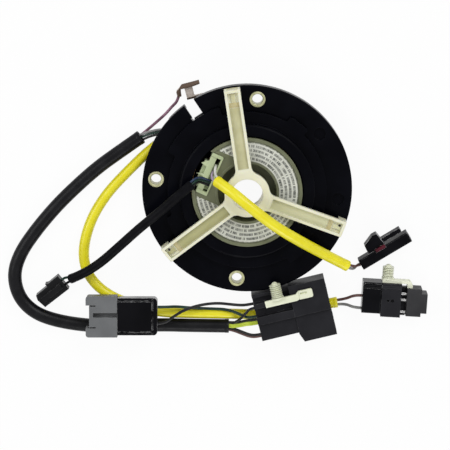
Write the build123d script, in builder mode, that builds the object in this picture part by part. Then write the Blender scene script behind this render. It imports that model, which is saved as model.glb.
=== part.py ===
"""Steering clock spring: a turning centre wired through a spiral ribbon to a fixed housing.

Millimetres. The turning axis is Z, the housing stands on its back at z = 0, and the
three mounting eyelets lie on +Y, -X and -Y.
"""

import math
import os

from build123d import *

os.makedirs("parts", exist_ok=True)

# Housing: a cup for the ribbon with a flange round its mouth
flange_r = 57.4
flange_top = 14.0
flange_thickness = 2.5
skirt_height = 6.5
skirt_wall = 2.2
cup_inset = 13.0  # from the flange's edge in to the cup's wall
cup_r = flange_r - cup_inset
cup_wall = 2.2
floor_thickness = 1.8
foot_recess = 1.6  # the floor's middle stands this far off the table
foot_recess_r = 27.0
edge_round = 0.6
running_gap = 0.3  # between the turning parts and the fixed ones
seat_gap = 0.05  # between pieces that are pressed or stuck together

# Mounting eyelets and the blind bosses that share their circle
eyelet_inset = 7.4
eyelet_circle_r = flange_r - eyelet_inset
eyelet_bearings = {"eyelet_top": 90.0, "eyelet_left": 180.0, "eyelet_bottom": 270.0}
eyelet_bore_r = 2.9
eyelet_wall = 0.75
eyelet_head_r = 4.25
eyelet_head_thickness = 0.7
eyelet_foot = 0.3  # stands out under its boss
boss_r = 6.0
dimple_bearings = (0.0, 44.2)
dimple_r = 3.3
dimple_depth = 1.6

# Slot through the flange's edge, and the gap in the skirt that the leads leave by
notch_bearing = 129.9
notch_width = 6.2
notch_inset = 8.8
notch_inner_r = flange_r - notch_inset
notch_corner = 1.6
exit_bearing = 142.0
exit_start = 144.5
exit_end = 171.0

# Cover over the ribbon
cover_inset = 1.1
cover_r = cup_r - cover_inset
cover_step = 3.6
cover_wall = 1.2
cover_sectors = ((114.4, 160.4, 4.9), (51.4, 66.4, 3.5), (306.4, 321.4, 3.5), (205.4, 221.4, 3.5))
cover_corner = 1.4
collar_width = 7.1
collar_height = 4.8
collar_round = 1.6

# Rotor: neck, ribbon drum and face, with a bay for its wire guide
rotor_r = 30.0
rotor_top = 24.0
disc_thickness = 2.6
face_width = 14.0  # from the rotor's edge in to its bore
rotor_bore_r = rotor_r - face_width
neck_wall = 2.0
bore_ledge_r = 11.4  # ledge in the rotor's bore, under the retainer's hub
bore_ledge_top = 13.0
bore_ledge_thickness = 2.0
drum_inset = 9.4
drum_inner_r = rotor_r - drum_inset
drum_wall = 1.6
rim_width = 1.6
groove_width = 0.6
groove_depth = 0.5
label_inset = 12.8
label_inner_r = rotor_r - label_inset
label_thickness = 0.15
label_recess = 0.2
label_margin = 2.3  # bare face left on each side of the bay
label_gap = 0.2
ring_flange_r = 26.4
ring_flange_thickness = 0.9
ring_wall = 1.45
ring_foot_gap = 0.4

# Wire guide in the rotor's bay, set square to one radius
bay_bearing = 162.5
bay_shift = -1.0
bay_depth = 4.2
guide_inset = 10.6
guide_inner = rotor_r - guide_inset
guide_depth = 6.6
guide_length = 23.2
guide_wall = 0.9
guide_rise = 0.7
guide_end_wall = 1.8
guide_rail_drop = 0.5
guide_floor = 0.8
guide_slot = 2.4
guide_gap_start = 1.6
guide_gap_end = 5.6
guide_prongs = (((-10.0, -3.6), (-5.0, 0.6)), ((-0.8, 1.4), (1.2, 0.4)))
guide_prong_low = 22.8
guide_prong_thickness = 1.2

# Terminal blocks: one under the rotor's bay, one on the outside of the cup
rotor_block_inset = 2.0
rotor_block_reach = rotor_r - rotor_block_inset
rotor_block_start = -7.0
rotor_block_end = 8.0
rotor_block_bottom = 14.6
ledge_depth = 2.6
stator_block_inset = 4.0
stator_block_reach = flange_r - stator_block_inset
stator_block_width = 11.0
stator_block_bottom = 0.8
stator_block_top = 11.2
tongue_root = 1.0
tongue_reach = 1.2  # how far the stator block's tongue stands into the cup
window_width = 6.0

# Ribbon cable, wound between the drum and the cup's wall
ribbon_thickness = 0.5
ribbon_turns = 5
ribbon_width = 9.0
ribbon_drum_gap = 0.6

# Retainer: a hub in the rotor's bore and three channel arms down to the flange
retainer_bearing = 104.9
retainer_hub_r = 12.3
retainer_bore_r = 8.5
retainer_standoff = 6.6
retainer_top = rotor_top + retainer_standoff
hub_tube_wall = 2.2
hub_depth = 16.0
arm_width = 8.8
arm_rail = 1.5
arm_floor = 1.2
arm_depth = 3.0
arm_inset = 0.8  # from the flange's edge to the arms' ends
arm_end_rise = 10.0
arm_end_top = flange_top + arm_end_rise
arm_fillet = 4.5
leg_length = 4.4
prong_width = 4.6
prong_thickness = 1.8
prong_depth = 4.0
channel_start = 14.0
channel_end_wall = 1.6
pocket_length = 8.0
pocket_depth = 0.6
tab_width = 2.4
tab_length = 5.0
tab_rise = 0.3
arm_pits = ((1, 3.4, -1.4), (2, 2.9, 1.1))  # arm, distance from its end, sideways
pit_r = 0.75
pit_depth = 0.5

# Airbag plug: a slim bar with a stepped shoulder, a side guide and a lock
airbag_plug_corner = (67.5, -36.5)
airbag_plug_bearing = 37.8
airbag_plug_length = 31.0
airbag_plug_width = 6.0
airbag_plug_height = 9.0
airbag_shoulder = ((6.6, 2.5), (7.2, 8.4), (13.3, 11.0), (16.3, 10.9), (17.4, 2.5))
airbag_shoulder_low = 1.0
airbag_shoulder_high = 8.0
airbag_guide_reach = 28.7
airbag_guide_near = 4.5
airbag_guide_width = 2.5
airbag_guide_low = 2.0
airbag_guide_high = 7.5
airbag_lock_start = 11.0
airbag_lock_length = 6.0
airbag_lock_near = 1.8
airbag_lock_width = 1.8
airbag_lock_low = 7.0
airbag_lock_high = 9.6
plug_wall = 1.2  # moulded walls round the plugs' mouths

# Switch plug
switch_plug_corner = (-94.9, -65.0)
switch_plug_bearing = 226.2
switch_plug_outline = (
    (0, -4.9), (7.0, -4.9), (8.4, -5.7), (8.4, -4.0), (16.5, -4.0), (17.5, -1.5), (16.8, 4.2), (0, 4.7),
)
switch_plug_height = 7.0
switch_latch_start = 2.0
switch_latch_end = 15.0
switch_latch_near = -1.2
switch_latch_far = 2.0
switch_latch_rise = 1.4
switch_mouth_start = 10.0
switch_mouth_width = 5.0

# Switch feed: a plug and its lock, leaning on the two main sleeves
feed_corner = (-80.2, -81.6)
feed_bearing = 6.4
feed_rest = 7.35  # height of the underside over the corner
feed_lean = 7.4  # degrees down towards the housing
feed_height = 11.0
feed_lock_length = 17.3
feed_lock_half = 11.4
feed_lock_notch = 1.9
feed_lock_notch_half = 6.0
feed_slit_length = 5.5
feed_slit_width = 0.7
feed_slit_depth = 3.0
feed_window = (4.1, feed_lock_length, -0.3, 2.1)
feed_window_depth = 4.0
feed_plug_end = 39.5
feed_plug_low = -10.2
feed_plug_high = 10.4
feed_plug_grooves = (-8.4, 8.6)
feed_groove_width = 0.6
feed_groove_depth = 0.6
feed_end_groove = 2.8  # from the plug's end to the groove across it
feed_lock_round = 1.6
feed_plug_round = 2.2

# Harness plug: a ribbed rear half and a wide front half on lengthwise runners
harness_corner = (13.3, -70.3)
harness_bearing = 20.0
harness_top = 20.0
harness_under = 6.4
harness_split = 20.7
harness_end = 41.0
harness_low = -13.7
harness_front_low = -19.3
harness_front_high = 13.5
harness_flare = 2.0
harness_runners = ((-13.5, -10.5), (3.0, 6.0))
harness_steps = ((12.8, 17.5), (11.0, 15.0), (8.0, 20.0), (5.2, 16.0), (0.3, 20.0), (-4.1, 17.5))
harness_fold = -4.1
harness_fold_drop = 2.0
harness_mouth_depth = 12.0
harness_wall = 2.0

# Fir-tree studs of the two harness clips
stud_core_r = 1.6
stud_fin_r = 3.2
stud_fins = 7
stud_flange_r = 3.4
stud_flange = 1.2
stud_fin_thickness = 0.4
harness_stud_length = 10.0
harness_stud_along = 14.0
harness_clip_thickness = 1.6
harness_clip_outline = (
    (6.5, 5.0), (24.0, 5.0), (25.5, 5.6), (33.0, 5.6), (33.0, 10.0), (25.5, 10.0), (24.0, 8.6), (6.5, 8.6),
)

# Airbag feed: rear plug, cover, front socket, bridging pins and a clip strap
airbag_feed_corner = (70.3, -53.7)
airbag_feed_bearing = 3.0
airbag_feed_height = 12.0
airbag_feed_plug_span = (0.0, 10.4, -9.0, 8.5)
airbag_feed_cover_span = (10.6, 21.4, -10.5, 8.3)
airbag_feed_socket_span = (24.6, 36.0, -9.6, 6.0)
airbag_feed_bridge_half = 5.5
airbag_feed_ridge = (5.0, 7.8)
airbag_feed_ridge_rise = 1.2
airbag_feed_ridge_start = 0.8
feed_dots = ((14.3, -1.3, 0.7), (16.7, -1.3, 0.95))  # along, across, radius
feed_dot_depth = 1.5
feed_step = (3.2, -7.6, 3.4)  # length, low and high of the socket's narrow end
feed_pin_places = (-7.6, -0.9, 2.6)
feed_pin_width = 1.2
feed_pin_height = 7.6
feed_clip_thickness = 1.5
feed_clip_width = 6.0
feed_clip_stud_along = 13.5
feed_clip_stud_length = 8.6
feed_clip_height = 6.0

# Ground clip: folded sheet crimped on the pink wire
ground_clip_corner = (-42.6, 46.2)
ground_clip_bearing = 85.0
ground_clip_outline = (
    (6.6, -0.8), (6.9, -6.3), (9.1, -9.2), (7.6, -9.9), (5.0, -7.6), (4.2, -12.4), (2.8, -12.9),
    (1.6, -8.5), (-1.1, -4.6), (1.5, -0.8),
)
ground_clip_sheet = 0.7
ground_clip_lip = 3.0
ground_crimp_r = 1.5
ground_crimp_length = 4.5


def polar(radius, bearing):
    """Point on the plan at a radius and a bearing in degrees."""
    angle = math.radians(bearing)
    return (radius * math.cos(angle), radius * math.sin(angle))


def turned(bearing, radius=0.0, height=0.0):
    """Plane whose x runs outwards along a bearing, with its origin at a radius on it."""
    x, y = polar(radius, bearing)
    return Plane(origin=(x, y, height), x_dir=(*polar(1, bearing), 0), z_dir=(0, 0, 1))


def upright(bearing):
    """Plane through the turning axis whose x runs outwards along a bearing and y upwards."""
    return Plane(origin=(0, 0, 0), x_dir=(*polar(1, bearing), 0), z_dir=(*polar(1, bearing - 90), 0))


def placed(corner, bearing):
    """Plane on the table whose x runs along a bearing from a point."""
    return Plane(origin=(*corner, 0), x_dir=(*polar(1, bearing), 0), z_dir=(0, 0, 1))


def across(plane, distance=0.0):
    """Plane square to another's x, with its own x and y along the other's y and z."""
    return Plane(origin=plane.from_local_coords((distance, 0, 0)), x_dir=plane.y_dir, z_dir=plane.x_dir)


def save(piece, name):
    piece.label = name
    export_step(piece, f"parts/{name}.step")


flange_under = flange_top - flange_thickness
skirt_bottom = flange_top - skirt_height
floor_top = foot_recess + floor_thickness
neck_r = rotor_bore_r + neck_wall
drum_r = drum_inner_r + drum_wall
disc_under = rotor_top - disc_thickness
ring_collar_r = neck_r + seat_gap + ring_wall
floor_bore_r = ring_collar_r + running_gap
arm_reach = flange_r - arm_inset
prong_r = flange_r - skirt_wall - prong_thickness / 2 - 2 * running_gap
bay_floor = rotor_top - bay_depth
collar_r = rotor_r + collar_width

# Housing base
with BuildPart() as housing_base:
    with BuildSketch(Plane.XZ):
        with BuildLine():
            Polyline(
                (floor_bore_r, foot_recess),
                (foot_recess_r, foot_recess),
                (foot_recess_r, 0),
                (cup_r, 0),
                (cup_r, flange_under),
                (flange_r - skirt_wall, flange_under),
                (flange_r - skirt_wall, skirt_bottom),
                (flange_r, skirt_bottom),
                (flange_r, flange_top),
                (cup_r - cup_wall, flange_top),
                (cup_r - cup_wall, floor_top),
                (floor_bore_r, floor_top),
                close=True,
            )
        make_face()
    revolve(axis=Axis.Z)
    outer_rim = housing_base.edges().filter_by(GeomType.CIRCLE).group_by(SortBy.RADIUS)[-1]
    fillet(outer_rim.sort_by(Axis.Z)[-1], edge_round)
    with BuildSketch(Plane.XY.offset(skirt_bottom)):
        for bearing in (*eyelet_bearings.values(), *dimple_bearings):
            with Locations(polar(eyelet_circle_r, bearing)):
                Circle(boss_r)
    extrude(amount=skirt_height - flange_thickness / 2)
    with BuildSketch(Plane.XY.offset(flange_top)):
        for bearing in eyelet_bearings.values():
            with Locations(polar(eyelet_circle_r, bearing)):
                Circle(eyelet_bore_r + eyelet_wall + seat_gap)
    extrude(amount=-skirt_height, mode=Mode.SUBTRACT)
    with BuildSketch(Plane.XY.offset(flange_top)):
        for bearing in dimple_bearings:
            with Locations(polar(eyelet_circle_r, bearing)):
                Circle(dimple_r)
    extrude(amount=-dimple_depth, mode=Mode.SUBTRACT)
    # slot in the edge, with the small nick at its inner corner
    with BuildSketch(turned(notch_bearing, 0, flange_top)):
        with Locations((notch_inner_r, 0)):
            Rectangle(flange_r, notch_width, align=(Align.MIN, Align.CENTER))
        with Locations((notch_inner_r, notch_width / 2)):
            Rectangle(notch_corner, notch_corner)
    extrude(amount=-skirt_height, mode=Mode.SUBTRACT)
    # gap in the skirt for the leads, and the window in the cup for the ribbon's end
    with BuildSketch(Plane.XY.offset(skirt_bottom)):
        with BuildLine():
            Polyline(polar(cup_r + skirt_wall, exit_start), polar(flange_r * 1.2, exit_start))
            CenterArc((0, 0), flange_r * 1.2, exit_start, exit_end - exit_start)
            Polyline(polar(flange_r * 1.2, exit_end), polar(cup_r + skirt_wall, exit_end))
            CenterArc((0, 0), cup_r + skirt_wall, exit_start, exit_end - exit_start)
        make_face()
    extrude(amount=skirt_height - flange_thickness, mode=Mode.SUBTRACT)
    with BuildSketch(turned(exit_bearing, cup_r - cup_wall, floor_top)):
        Rectangle(4 * cup_wall, window_width)
    extrude(amount=ribbon_width, mode=Mode.SUBTRACT)
    # slots that the retainer's prongs stand in
    with BuildSketch(Plane.XY.offset(flange_top)):
        for arm in range(3):
            bearing = retainer_bearing + 120 * arm
            with Locations(Location((*polar(prong_r, bearing), 0), (0, 0, bearing))):
                Rectangle(prong_thickness + 2 * running_gap, prong_width + 2 * running_gap)
    extrude(amount=-flange_thickness, mode=Mode.SUBTRACT)
save(housing_base.part, "housing_base")

# Housing cover
with BuildPart() as housing_cover:
    with BuildSketch(Plane.XY.offset(flange_top)) as cover_outline:
        Circle(cover_r)
        for start, end, reach in cover_sectors:
            with BuildLine():
                edge = CenterArc((0, 0), cover_r + reach, start, end - start)
                Line((0, 0), edge @ 0)
                Line(edge @ 1, (0, 0))
            make_face()
        fillet(cover_outline.vertices(), cover_corner)
    extrude(amount=cover_step)
    with BuildSketch(Plane.XY.offset(flange_top)):
        Circle(collar_r)
    extrude(amount=cover_step + collar_height)
    collar_rim = housing_cover.edges().filter_by(GeomType.CIRCLE).sort_by(Axis.Z)[-1]
    fillet(collar_rim, collar_round)
    with BuildSketch(Plane.XY.offset(flange_top)):
        add(cover_outline.sketch)
        offset(amount=-cover_wall, mode=Mode.REPLACE)
    extrude(amount=cover_step - cover_wall, mode=Mode.SUBTRACT)
    with BuildSketch(Plane.XY.offset(flange_top)):
        Circle(collar_r - cover_wall)
    extrude(amount=cover_step + collar_height - cover_wall, mode=Mode.SUBTRACT)
    with BuildSketch(Plane.XY.offset(flange_top)):
        Circle(rotor_r + 2 * running_gap)
    extrude(amount=cover_step + collar_height, mode=Mode.SUBTRACT)
save(housing_cover.part, "housing_cover")

# Rotor
with BuildPart() as rotor:
    with BuildSketch(Plane.XZ):
        with BuildLine():
            Polyline(
                (rotor_bore_r, ring_foot_gap),
                (neck_r, ring_foot_gap),
                (neck_r, disc_under),
                (drum_inner_r, disc_under),
                (drum_inner_r, floor_top + running_gap),
                (drum_r, floor_top + running_gap),
                (drum_r, disc_under),
                (rotor_r, disc_under),
                (rotor_r, rotor_top),
                (rotor_r - rim_width, rotor_top),
                (rotor_r - rim_width, rotor_top - groove_depth),
                (rotor_r - rim_width - groove_width, rotor_top - groove_depth),
                (rotor_r - rim_width - groove_width, rotor_top - label_recess),
                (label_inner_r, rotor_top - label_recess),
                (label_inner_r, rotor_top),
                (rotor_bore_r, rotor_top),
                (rotor_bore_r, bore_ledge_top),
                (bore_ledge_r, bore_ledge_top),
                (bore_ledge_r, bore_ledge_top - bore_ledge_thickness),
                (rotor_bore_r, bore_ledge_top - bore_ledge_thickness),
                close=True,
            )
        make_face()
    revolve(axis=Axis.Z)
    with BuildSketch(turned(bay_bearing, 0, bay_floor)):
        with Locations((guide_inner - seat_gap, bay_shift)):
            Rectangle(rotor_r, guide_length + 2 * seat_gap, align=(Align.MIN, Align.CENTER))
    extrude(amount=2 * bay_depth, mode=Mode.SUBTRACT)
save(rotor.part, "rotor")

# Lower ring, pressed on the neck from behind to hold the rotor in the floor
with BuildPart() as rotor_ring:
    with BuildSketch(Plane.XZ):
        with BuildLine():
            Polyline(
                (neck_r + seat_gap, ring_foot_gap),
                (ring_flange_r, ring_foot_gap),
                (ring_flange_r, ring_foot_gap + ring_flange_thickness),
                (ring_collar_r, ring_foot_gap + ring_flange_thickness),
                (ring_collar_r, floor_top + running_gap),
                (neck_r + seat_gap, floor_top + running_gap),
                close=True,
            )
        make_face()
    revolve(axis=Axis.Z)
save(rotor_ring.part, "rotor_ring")

# Rotor label: a ring of film in the face's recess, open at the bay
with BuildPart() as rotor_label:
    with BuildSketch(turned(bay_bearing, 0, rotor_top - label_recess)):
        Circle(rotor_r - rim_width - groove_width - label_gap)
        Circle(label_inner_r + label_gap, mode=Mode.SUBTRACT)
        with Locations((0, bay_shift)):
            bare = guide_length + 2 * label_margin
            Rectangle(rotor_r, bare, align=(Align.MIN, Align.CENTER), mode=Mode.SUBTRACT)
    extrude(amount=label_thickness)
save(rotor_label.part, "rotor_label")

# Rotor terminal block, hung under the bay outside the drum
guide_bottom = disc_under
with BuildPart() as rotor_terminal_block:
    with BuildSketch(turned(bay_bearing, 0, rotor_block_bottom)):
        with BuildLine():
            Polyline(
                (drum_r + seat_gap, rotor_block_start),
                (rotor_block_reach, rotor_block_start),
                (rotor_block_reach, rotor_block_end),
                (drum_r + seat_gap, rotor_block_end),
                close=True,
            )
        make_face()
    extrude(amount=guide_bottom - seat_gap - rotor_block_bottom)
    with BuildSketch(turned(bay_bearing, guide_inner + guide_wall, bay_floor + seat_gap)):
        with Locations((0, (rotor_block_start + rotor_block_end) / 2)):
            ledge_width = rotor_block_end - rotor_block_start
            Rectangle(ledge_depth, ledge_width, align=(Align.MIN, Align.CENTER))
    extrude(amount=guide_bottom - bay_floor - 2 * seat_gap)
save(rotor_terminal_block.part, "rotor_terminal_block")

# Wire guide: a frame with a through slot, a lower outer rail with a gap, and two prongs
guide_top = rotor_top + guide_rise
slot_inner = guide_inner + guide_wall
slot_outer = slot_inner + guide_slot
with BuildPart() as rotor_wire_guide:
    with BuildSketch(turned(bay_bearing, guide_inner, guide_bottom)):
        with Locations((guide_depth / 2, bay_shift)):
            RectangleRounded(guide_depth, guide_length, edge_round)
    extrude(amount=guide_top - guide_bottom)
    with BuildSketch(turned(bay_bearing, slot_inner, guide_bottom)):
        with Locations((guide_slot / 2, bay_shift)):
            Rectangle(guide_slot, guide_length - 2 * guide_end_wall)
    extrude(amount=guide_top - guide_bottom, mode=Mode.SUBTRACT)
    with BuildSketch(turned(bay_bearing, slot_outer, guide_top - guide_rail_drop)):
        with Locations((guide_depth / 2, bay_shift)):
            Rectangle(guide_depth, guide_length - 2 * guide_end_wall)
    extrude(amount=2 * guide_rail_drop, mode=Mode.SUBTRACT)
    with BuildSketch(turned(bay_bearing, slot_outer, guide_bottom + guide_floor)):
        with Locations((guide_depth / 2, (guide_gap_start + guide_gap_end) / 2)):
            Rectangle(guide_depth, guide_gap_end - guide_gap_start)
    extrude(amount=guide_top - guide_bottom, mode=Mode.SUBTRACT)
    with BuildSketch(turned(bay_bearing, 0, guide_prong_low)):
        for (prong_start, prong_end), (tip_side, tip_inset) in guide_prongs:
            root = slot_outer + guide_wall
            with BuildLine():
                Polyline((root, prong_start), (root, prong_end), (rotor_r - tip_inset, tip_side), close=True)
            make_face()
    extrude(amount=guide_prong_thickness)
save(rotor_wire_guide.part, "rotor_wire_guide")

# Stator terminal block, with a tongue through the cup's window to the ribbon's end
tongue_inner = cup_r - cup_wall - tongue_reach
with BuildPart() as stator_terminal_block:
    with BuildSketch(turned(exit_bearing, cup_r + seat_gap, stator_block_bottom)):
        block_depth = stator_block_reach - cup_r - seat_gap
        Rectangle(block_depth, stator_block_width, align=(Align.MIN, Align.CENTER))
    extrude(amount=stator_block_top - stator_block_bottom)
    with BuildSketch(turned(exit_bearing, tongue_inner, floor_top + seat_gap)):
        tongue_depth = cup_r + tongue_root - tongue_inner
        Rectangle(tongue_depth, window_width - 2 * seat_gap, align=(Align.MIN, Align.CENTER))
    extrude(amount=ribbon_width - 2 * seat_gap)
save(stator_terminal_block.part, "stator_terminal_block")

# Ribbon cable: a flat spiral of half turns whose centres step from side to side
ribbon_start = drum_r + ribbon_drum_gap + ribbon_thickness / 2
ribbon_end = tongue_inner - seat_gap - ribbon_thickness / 2
ribbon_pitch = (ribbon_end - ribbon_start) / ribbon_turns
with BuildPart() as ribbon_cable:
    with BuildSketch(turned(exit_bearing, 0, floor_top + seat_gap)):
        with BuildLine():
            for side in (-ribbon_thickness / 2, ribbon_thickness / 2):
                for half_turn in range(2 * ribbon_turns):
                    shift = ribbon_pitch / 4 * (-1) ** (half_turn + 1)
                    radius = ribbon_start + ribbon_pitch * (2 * half_turn + 1) / 4 + side
                    CenterArc((shift, 0), radius, 180 * (half_turn % 2), 180)
            for end in (ribbon_start, ribbon_end):
                Line((end - ribbon_thickness / 2, 0), (end + ribbon_thickness / 2, 0))
        make_face()
    extrude(amount=ribbon_width)
save(ribbon_cable.part, "ribbon_cable")

# Mounting eyelets: flanged metal bushes through the flange
for name, bearing in eyelet_bearings.items():
    centre = polar(eyelet_circle_r, bearing)
    with BuildPart() as eyelet:
        with BuildSketch(Plane.XY.offset(skirt_bottom - eyelet_foot)):
            with Locations(centre):
                Circle(eyelet_bore_r + eyelet_wall)
        extrude(amount=skirt_height + eyelet_foot)
        with BuildSketch(Plane.XY.offset(flange_top)):
            with Locations(centre):
                Circle(eyelet_head_r)
        extrude(amount=eyelet_head_thickness)
        with BuildSketch(Plane.XY.offset(flange_top + eyelet_head_thickness)):
            with Locations(centre):
                Circle(eyelet_bore_r)
        extrude(amount=-flange_top, mode=Mode.SUBTRACT)
        mouth = eyelet.edges().filter_by(GeomType.CIRCLE).group_by(Axis.Z)[-1].sort_by(SortBy.RADIUS)[0]
        chamfer(mouth, eyelet_wall / 2)
    save(eyelet.part, name)

# Retainer: hub and sloping arms turned as one form, cut to plan, then channelled
arm_slope = (retainer_top - arm_end_top) / (arm_reach - retainer_hub_r)
leg_bottom = flange_top + seat_gap
leg_inner = arm_reach - leg_length


def arm_top(radius):
    """Height of the arms' upper edge at a radius."""
    return retainer_top - arm_slope * (radius - retainer_hub_r)


with BuildPart() as retainer:
    with BuildSketch(Plane.XZ):
        with BuildLine():
            Polyline(
                (retainer_bore_r, retainer_top),
                (retainer_hub_r, retainer_top),
                (arm_reach, arm_top(arm_reach)),
                (arm_reach, leg_bottom),
                (leg_inner, leg_bottom),
                (leg_inner, arm_top(leg_inner) - arm_depth),
                (retainer_hub_r, retainer_top - arm_depth),
                (retainer_bore_r + hub_tube_wall, retainer_top - arm_depth),
                (retainer_bore_r + hub_tube_wall, retainer_top - hub_depth),
                (retainer_bore_r, retainer_top - hub_depth),
                close=True,
            )
        make_face()
    revolve(axis=Axis.Z)
    with BuildSketch() as plan:
        Circle(retainer_hub_r)
        for arm in range(3):
            with Locations(Location((0, 0, 0), (0, 0, retainer_bearing + 120 * arm))):
                Rectangle(2 * arm_reach, arm_width, align=(Align.MIN, Align.CENTER))
        fillet(plan.vertices().sort_by_distance((0, 0, 0))[:6], arm_fillet)
    extrude(amount=retainer_top, mode=Mode.INTERSECT)
    for arm in range(3):
        bearing = retainer_bearing + 120 * arm
        channel_end = arm_reach - channel_end_wall
        channel_depth = arm_depth - arm_floor
        with BuildSketch(upright(bearing)):
            with BuildLine():
                Polyline(
                    (channel_start, arm_top(channel_start) - channel_depth),
                    (channel_end - pocket_length, arm_top(channel_end - pocket_length) - channel_depth),
                    (channel_end - pocket_length, arm_top(channel_end - pocket_length) - channel_depth - pocket_depth),
                    (channel_end, arm_top(channel_end) - channel_depth - pocket_depth),
                    (channel_end, retainer_top),
                    (channel_start, retainer_top),
                    close=True,
                )
            make_face()
        extrude(amount=arm_width / 2 - arm_rail, both=True, mode=Mode.SUBTRACT)
        with BuildSketch(upright(bearing)):
            with BuildLine():
                Polyline(
                    (channel_end, arm_top(channel_end) - arm_depth),
                    (channel_end, arm_top(channel_end) - channel_depth + tab_rise),
                    (channel_end - tab_length, arm_top(channel_end - tab_length) - channel_depth + tab_rise),
                    (channel_end - tab_length, arm_top(channel_end - tab_length) - arm_depth),
                    close=True,
                )
            make_face()
        extrude(amount=tab_width / 2, both=True)
        with BuildSketch(turned(bearing, prong_r, leg_bottom)):
            Rectangle(prong_thickness, prong_width)
        extrude(amount=-prong_depth)
    for arm, distance, sideways in arm_pits:
        pit_floor = arm_top(channel_end) - channel_depth - pocket_depth - pit_depth
        with BuildSketch(turned(retainer_bearing + 120 * arm, arm_reach - distance, pit_floor)):
            with Locations((0, sideways)):
                Circle(pit_r)
        extrude(amount=arm_depth, mode=Mode.SUBTRACT)
save(retainer.part, "retainer")

# Airbag plug and its lock
on_airbag_plug = placed(airbag_plug_corner, airbag_plug_bearing)
lock_centre = (airbag_lock_start + airbag_lock_length / 2, airbag_lock_near + airbag_lock_width / 2)
with BuildPart() as airbag_plug:
    with BuildSketch(on_airbag_plug):
        Rectangle(airbag_plug_length, airbag_plug_width, align=(Align.MIN, Align.CENTER))
    extrude(amount=airbag_plug_height)
    fillet(airbag_plug.edges().group_by(Axis.Z)[-1], edge_round)
    with BuildSketch(on_airbag_plug.offset(airbag_shoulder_low)):
        with BuildLine():
            Polyline(*airbag_shoulder, close=True)
        make_face()
    extrude(amount=airbag_shoulder_high - airbag_shoulder_low)
    with BuildSketch(on_airbag_plug.offset(airbag_guide_low)):
        with Locations((airbag_lock_start, airbag_guide_near)):
            airbag_guide_length = airbag_guide_reach - airbag_lock_start
            Rectangle(airbag_guide_length, airbag_guide_width, align=(Align.MIN, Align.MIN))
    extrude(amount=airbag_guide_high - airbag_guide_low)
    with BuildSketch(on_airbag_plug.offset(airbag_lock_low)):
        with Locations(lock_centre):
            Rectangle(airbag_lock_length + 2 * seat_gap, airbag_lock_width + 2 * seat_gap)
    extrude(amount=airbag_plug_height, mode=Mode.SUBTRACT)
    with BuildSketch(across(on_airbag_plug, airbag_plug_length)):
        with Locations((0, airbag_plug_height / 2)):
            Rectangle(airbag_plug_width - 2 * plug_wall, airbag_plug_height - 2 * plug_wall)
    extrude(amount=-airbag_plug_length / 4, mode=Mode.SUBTRACT)
save(airbag_plug.part, "airbag_plug")

with BuildPart() as airbag_plug_lock:
    with BuildSketch(on_airbag_plug.offset(airbag_lock_low + seat_gap)):
        with Locations(lock_centre):
            Rectangle(airbag_lock_length, airbag_lock_width)
    extrude(amount=airbag_lock_high - airbag_lock_low)
    chamfer(airbag_plug_lock.edges().group_by(Axis.Z)[-1], airbag_lock_width / 6)
save(airbag_plug_lock.part, "airbag_plug_lock")

# Switch plug
on_switch_plug = placed(switch_plug_corner, switch_plug_bearing)
with BuildPart() as switch_plug:
    with BuildSketch(on_switch_plug):
        with BuildLine():
            Polyline(*switch_plug_outline, close=True)
        make_face()
    extrude(amount=switch_plug_height)
    fillet(switch_plug.edges().group_by(Axis.Z)[-1], edge_round)
    with BuildSketch(on_switch_plug.offset(switch_plug_height)):
        with BuildLine():
            Polyline(
                (switch_latch_start, switch_latch_near),
                (switch_latch_end, switch_latch_near),
                (switch_latch_end, switch_latch_far),
                (switch_latch_start, switch_latch_far),
                close=True,
            )
        make_face()
    extrude(amount=switch_latch_rise)
    with BuildSketch(across(on_switch_plug, switch_mouth_start)):
        with Locations((0, switch_plug_height / 2)):
            Rectangle(switch_mouth_width, switch_plug_height - 2 * plug_wall)
    extrude(amount=switch_plug_outline[5][0], mode=Mode.SUBTRACT)
save(switch_plug.part, "switch_plug")

# Switch feed plug and lock
lean = math.radians(feed_lean)
on_feed = Plane(
    origin=(*feed_corner, feed_rest),
    x_dir=(*polar(1, feed_bearing), 0),
    z_dir=(*polar(math.sin(lean), feed_bearing + 90), math.cos(lean)),
)
with BuildPart() as switch_feed_lock:
    with BuildSketch(on_feed) as lock_outline:
        with BuildLine():
            Polyline(
                (0, -feed_lock_half),
                (feed_lock_length, -feed_lock_half),
                (feed_lock_length, feed_lock_half),
                (0, feed_lock_half),
                (0, feed_lock_notch_half),
                (feed_lock_notch, feed_lock_notch_half),
                (feed_lock_notch, -feed_lock_notch_half),
                (0, -feed_lock_notch_half),
                close=True,
            )
        make_face()
        for row in (0, -1):
            fillet(lock_outline.vertices().group_by(Axis.Y)[row].sort_by(Axis.X)[0], feed_lock_round)
    extrude(amount=feed_height)
    with BuildSketch(on_feed.offset(feed_height)):
        for side in (-feed_lock_notch_half, feed_lock_notch_half):
            with Locations((0, side)):
                Rectangle(feed_slit_length, feed_slit_width, align=(Align.MIN, Align.CENTER))
    extrude(amount=-feed_slit_depth, mode=Mode.SUBTRACT)
    with BuildSketch(on_feed.offset(feed_height)):
        near, far, low, high = feed_window
        with Locations((near, low)):
            Rectangle(far - near, high - low, align=(Align.MIN, Align.MIN))
    extrude(amount=-feed_window_depth, mode=Mode.SUBTRACT)
save(switch_feed_lock.part, "switch_feed_lock")

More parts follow.
